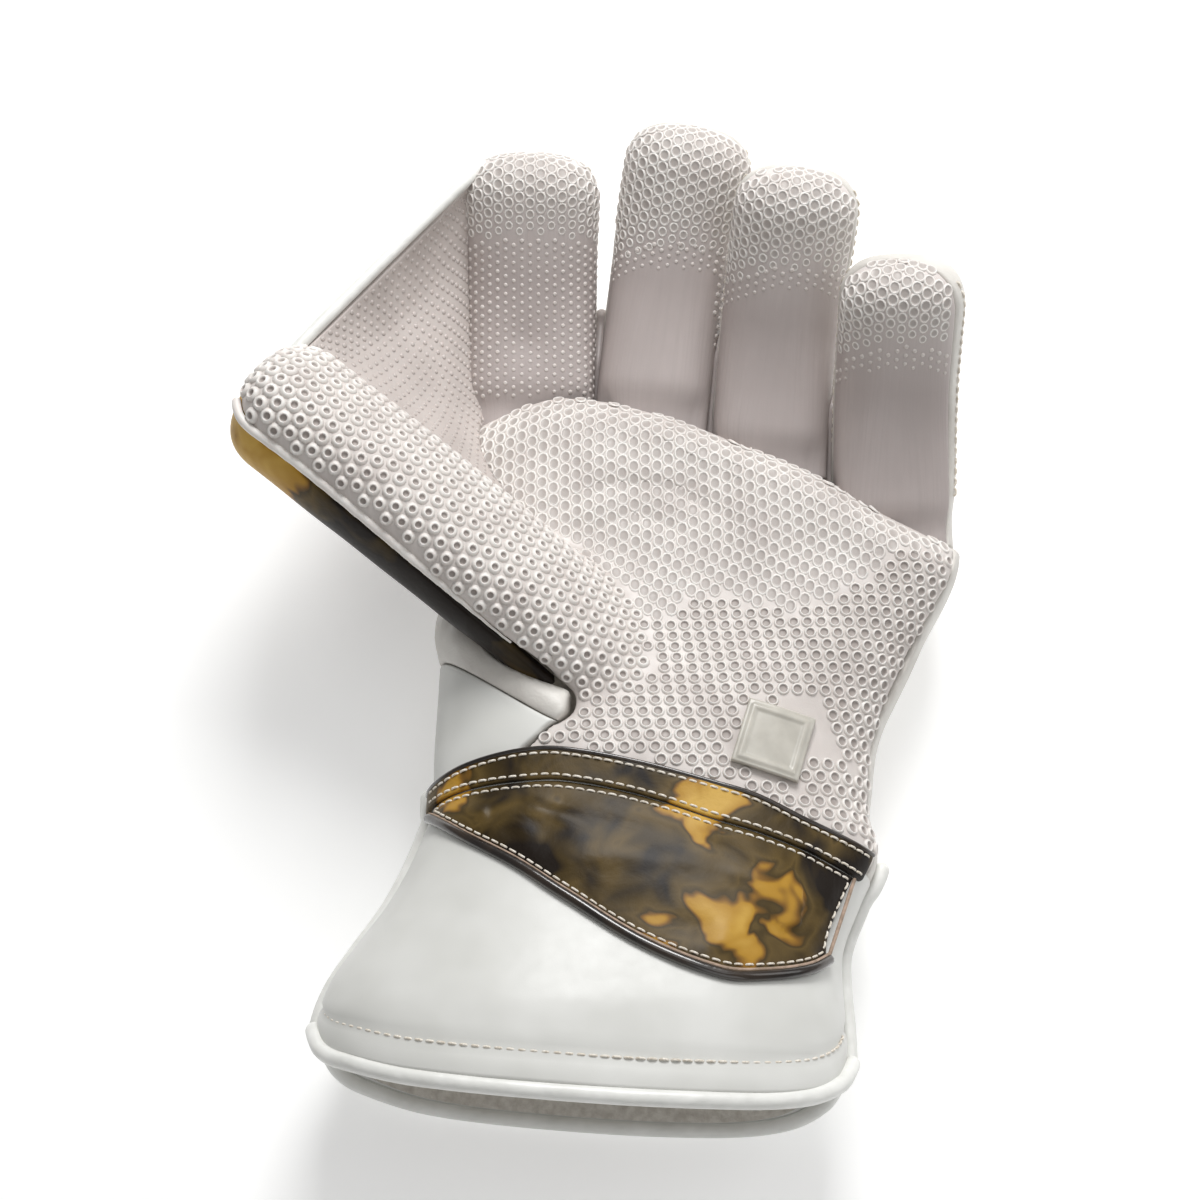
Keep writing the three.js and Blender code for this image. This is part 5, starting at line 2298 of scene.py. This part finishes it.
@dataclass
class Cuff:
    """The flared cuff: two coated leather panels, a bound hem and bound side seams."""

    finishes: Finishes
    step: float = 2.6
    edge: float = 1.2
    hem_stitch: float = 9
    over_band: float = 0.5

    def panel(self, name: str, node: str, start: Curve, end: Curve, seed: int) -> None:
        """One panel with its lining.

        Args:
            name: Its name.
            node: The solid that it stands for.
            start: The angle of its first side.
            end: The angle of its last side.
            seed: Which waves it has.
        """
        hand = FORM.hand
        bound = SIZES.cuff_binding + SIZES.seam_gap
        sheet = hand.panel(start, end, shifted(hand.hem, bound * 1.7), shifted(hand.joint, -SIZES.seam_gap))
        row = bound * 1.7 + self.hem_stitch

        def relief(s: Array, t: Array, points: Array) -> Array:
            """Soft waves, and the pull of the stitches along the hem."""
            pull = np.exp(-(((points[..., 1] - hand.hem(points[..., 0]) - row) / 2.2) ** 2))
            return 0.6 * ripple(points, 32, seed) - 0.8 * pull + 0.5 * np.sin(math.pi * t)

        piece = place(name, wall(sheet, self.step, SIZES.cuff_wall, self.edge, relief), self.finishes.cuff,
                      self.finishes.lining)
        keep(piece, Slot.CUFF, node, fill=0.5)

    def build(self) -> None:
        """Builds the panels, the bindings and the hem's stitches."""
        hand = FORM.hand
        bound = SIZES.cuff_binding + SIZES.seam_gap
        self.panel("cuff_front_panel", "cuff_front", lambda y: hand.angle_off(bound, y),
                   lambda y: math.pi - hand.angle_off(bound, y), 51)
        self.panel("cuff_back_panel", "cuff_back", lambda y: hand.angle_off(-bound, y),
                   lambda y: -math.pi - hand.angle_off(-bound, y), 52)
        ring = hem_point(np.linspace(0, 2 * math.pi, 260, endpoint=False))
        keep(place("hem_bound_edge", bead(ring, SIZES.cuff_binding, closed=True), self.finishes.binding),
             Slot.BINDING, "hem_binding")
        for name, angle in (("thumb_side_binding", math.pi), ("little_side_binding", 0.0)):
            x = float(hand.point(angle, 0.0)[0])
            joint, top = float(hand.joint(x)), float(hand.band_top(x)) + self.over_band
            bottom = float(hem_point(np.array(angle))[1]) + SIZES.cuff_binding
            along = np.linspace(top, bottom, 70)
            grow = SIZES.binding_proud + 0.8 * smooth((along - joint + 6) / 6)
            line = hand.point(angle, along, grow)
            shape = bead(line, SIZES.cuff_binding)
            piece = place(name.replace("binding", "bound_seam"), shape, self.finishes.binding)
            keep(piece, Slot.BINDING, name)
        stitch_line = shifted(hand.hem, bound * 1.7 + self.hem_stitch)
        rows = [hand_row(np.linspace(a, b, 400), stitch_line, -0.5)
                for a, b in ((0.25, math.pi - 0.25), (math.pi + 0.25, 2 * math.pi - 0.25))]
        keep(place("hem_stitches", Shape.joined(rows), self.finishes.thread, seal=False), Slot.CUFF)


@dataclass
class WristTrim:
    """The marbled band and patch over the wrist, their dark edges, the piping below and their stitches."""

    finishes: Finishes
    step: float = 1.8
    lift: float = 0.5
    patch_from: float = 0.52
    patch_to: float = math.pi - 0.3
    band_from: float = 0.42
    dark_edge: float = 0.75
    cut_edge: float = 0.6
    stitch_inset: float = 2.6

    def line(self, angles: Array, line: Curve, grow: float) -> Array:
        """The points where a line crosses the wrist."""
        return FORM.hand.at_line(angles, line, grow)[0]

    def build(self) -> None:
        """Builds band, patch, edges, piping and stitches."""
        hand, gap = FORM.hand, SIZES.seam_gap / 2
        top = self.lift + SIZES.band_thickness
        band_end = lambda y: math.pi - hand.angle_off(4, y)
        sheet = hand.panel(steady(self.band_from), band_end, shifted(hand.band_low, gap), hand.band_top)
        ripples = lambda s, t, p: 0.25 * ripple(p, 12, 61)
        band = wall(raised(sheet, top), self.step, SIZES.band_thickness, 0.7, ripples)
        keep(place("wrist_band_patent", band, self.finishes.wrist_patent), Slot.PATENT, "wrist_band")
        across = np.linspace(self.band_from + 0.01, math.pi - 0.08, 260)
        edge = bead(self.line(across, shifted(hand.band_top, -0.2), top - 0.2), self.dark_edge)
        keep(place("band_dark_edge", edge, self.finishes.piping), Slot.PIPING)

        def crown(s: Array, t: Array, points: Array) -> Array:
            """The patch's padding, pulled down along its stitches, with soft wrinkles."""
            rise = SIZES.patch_thickness * (0.9 * (np.sin(math.pi * t) * np.sin(math.pi * s)) ** 0.7 - 0.35)
            return rise + 0.35 * ripple(points, 15, 62) + 0.15 * ripple(points, 7, 63)

        piping = SIZES.patch_piping
        low = shifted(hand.patch_low, piping * 1.6)
        sheet = hand.panel(steady(self.patch_from), steady(self.patch_to), low, shifted(hand.band_low, -gap))
        shape = wall(raised(sheet, top), self.step, SIZES.band_thickness, 0.7, crown)
        patch = place("wrist_patch_patent", shape, self.finishes.wrist_patent)
        angles = np.linspace(self.patch_from, self.patch_to, 200)
        ends = [self.line(angles, shifted(hand.band_low, -2.0), top), self.line(angles, low, top)]
        side = lerp(ends[0][:1], ends[1][:1], np.linspace(0, 1, 30)[:, None])
        PaddedCloth().settle(patch, np.concatenate([*ends, side]))
        keep(patch, Slot.PATENT, "wrist_patch", fill=0.5)
        roll = bead(self.line(angles, shifted(hand.patch_low, piping), self.lift + piping * 0.7), piping)
        keep(place("patch_dark_piping", roll, self.finishes.piping), Slot.PIPING, "patch_piping")
        raw_line = self.line(angles, shifted(hand.patch_low, piping * 2.1), self.lift + piping * 0.9)
        corner = self.line(angles[:1], shifted(hand.band_low, -1.0), top - 0.4)
        rise = lerp(corner, raw_line[:1], np.linspace(0, 1, 24)[:-1, None])
        raw = bead(np.concatenate([rise, raw_line]), self.cut_edge)
        keep(place("patch_cut_edge", raw, self.finishes.cut_edge), Slot.PIPING)
        self.stitches(patch, top)

    def stitches(self, patch: Piece, top: float) -> None:
        """The rows along the band's edges and round the patch.

        Args:
            patch: The patch that some of them lie on.
            top: How far the band's face stands off the wrist.
        """
        hand = FORM.hand
        wide = np.linspace(self.band_from + 0.05, math.pi - 0.24, 500)
        seams = shifted(hand.band_low, 1.7), shifted(hand.band_top, -1.9)
        rows = [hand_row(wide, seam, top) for seam in seams]
        touch = Touch.on(patch)
        narrow = np.linspace(self.patch_from + 0.045, self.patch_to - 0.05, 500)
        upper = shifted(hand.band_low, -2.0)
        lower = shifted(hand.patch_low, SIZES.patch_piping * 1.6 + self.stitch_inset)
        lines = [self.line(narrow, upper, top), self.line(narrow, lower, top)]
        lines.append(lerp(lines[0][:1], lines[1][:1], np.linspace(0.02, 0.98, 120)[:, None]))
        for line in lines:
            spots, normals, _ = touch.nearest(line)
            rows.append(STITCHING.row(spots, normals))
        keep(place("wrist_stitches", Shape.joined(rows), self.finishes.thread, seal=False), Slot.PATENT)


@dataclass
class Badge:
    """The small soft square near the palm's heel: a plain field in a raised frame."""

    finishes: Finishes
    across: float = 0.27
    along: float = 0.125
    turn: float = -0.3
    frame_inset: float = 1.6
    frame_width: float = 1.5
    frame_height: float = 0.6

    @classmethod
    def within(cls, x: Array, y: Array) -> tuple[Array, Array]:
        """Places over the palm measured from the badge's middle along its own sides.

        Args:
            x: The place across the glove.
            y: The place along the glove.

        Returns:
            The two distances.
        """
        dx, dy = x - SIZES.wrist_width * cls.across, y - SIZES.hand_length * cls.along
        cos, sin = math.cos(cls.turn), math.sin(cls.turn)
        return dx * cos + dy * sin, dy * cos - dx * sin

    def build(self) -> None:
        """Builds the badge."""
        size = SIZES.badge_size
        centre = SIZES.wrist_width * self.across, SIZES.hand_length * self.along
        middle = self.frame_inset + self.frame_width / 2

        def sheet(s: Array, t: Array, grow: Array) -> Array:
            """The badge's square, laid over the palm.

            Args:
                s: The share of the way across.
                t: The share of the way along.
                grow: How far off the surface.

            Returns:
                The points.
            """
            u, v = (s - 0.5) * size, (t - 0.5) * size
            x = centre[0] + u * math.cos(self.turn) - v * math.sin(self.turn)
            y = centre[1] + u * math.sin(self.turn) + v * math.cos(self.turn)
            return np.stack([x, y, FORM.over(x, y, True) + grow], -1)

        def relief(s: Array, t: Array, points: Array) -> Array:
            """The raised frame."""
            off_frame = np.minimum(np.minimum(s, 1 - s), np.minimum(t, 1 - t)) * size - middle
            return self.frame_height * smooth(1.6 - np.abs(off_frame) / (self.frame_width / 2))

        top = SIZES.overlay_gap + SIZES.badge_thickness
        shape = wall(raised(sheet, top), 0.5, top + 1.0, 0.7, relief)
        keep(place("soft_square_badge", shape, self.finishes.badge), Slot.BADGE, "badge")


@dataclass
class Studio:
    """The floor, the lights and the camera; places in millimetres."""

    finishes: Finishes
    target: tuple[float, float, float] = (-16.5, 72, 40)
    distance: float = 800
    elevation: float = 72
    seen_width: float = 396
    sensor: float = 36

    def lamp(self, name: str, place_mm: tuple[float, float, float], size: float, power: float) -> None:
        """A square soft light that faces the glove.

        Args:
            name: Its name.
            place_mm: Where it stands.
            size: Its side in millimetres.
            power: Its watts.
        """
        light = bpy.data.lights.new(name, "AREA")
        light.size = size * MM
        light.energy = power
        lamp = bpy.data.objects.new(name, light)
        lamp.location = in_frame(place_mm)
        aim = Vector(in_frame(self.target)) - lamp.location
        lamp.rotation_euler = aim.to_track_quat("-Z", "Y").to_euler()
        bpy.context.scene.collection.objects.link(lamp)

    def build(self) -> None:
        """Builds the studio."""
        half = 3000 * MM
        mesh = bpy.data.meshes.new("studio_floor")
        corners = [(-half, -half, 0), (half, -half, 0), (half, half, 0), (-half, half, 0)]
        mesh.from_pydata(corners, [], [(0, 1, 2, 3)])
        mesh.materials.append(self.finishes.paper)
        floor = bpy.data.objects.new("studio_floor", mesh)
        bpy.context.scene.collection.objects.link(floor)
        self.lamp("key_light", (60, 760, 720), 420, 8.2)
        self.lamp("top_light", (60, 250, 1300), 900, 2.3)
        self.lamp("front_fill", (100, -900, 800), 900, 2.2)
        self.lamp("side_fill", (800, 250, 650), 600, 1.7)
        world = bpy.data.worlds.new("studio_air")
        world.use_nodes = True
        world.node_tree.nodes["Background"].inputs["Color"].default_value = (1, 1, 1, 1)
        world.node_tree.nodes["Background"].inputs["Strength"].default_value = 0.2
        bpy.context.scene.world = world
        bpy.context.scene.view_settings.view_transform = "Standard"
        camera = bpy.data.cameras.new("camera")
        camera.sensor_width = self.sensor
        camera.lens = self.sensor * self.distance / self.seen_width
        view = bpy.data.objects.new("camera", camera)
        rise = math.radians(self.elevation)
        back = Vector((0, -math.cos(rise), math.sin(rise)))
        view.location = Vector(in_frame(self.target)) + back * self.distance * MM
        view.rotation_euler = (-back).to_track_quat("-Z", "Y").to_euler()
        bpy.context.scene.collection.objects.link(view)
        bpy.context.scene.camera = view


def main() -> None:
    """Builds the glove's looks in order."""
    logging.basicConfig(level=logging.INFO, format="%(name)s %(message)s")
    finishes = Finishes()
    for part in (Studio, RubberPalm, FingerStalls, ThumbBack, Web, HandLeather, Cuff, WristTrim, Badge):
        LOG.info("building %s", part.__name__)
        part(finishes).build()


if __name__ == "__main__":
    main()
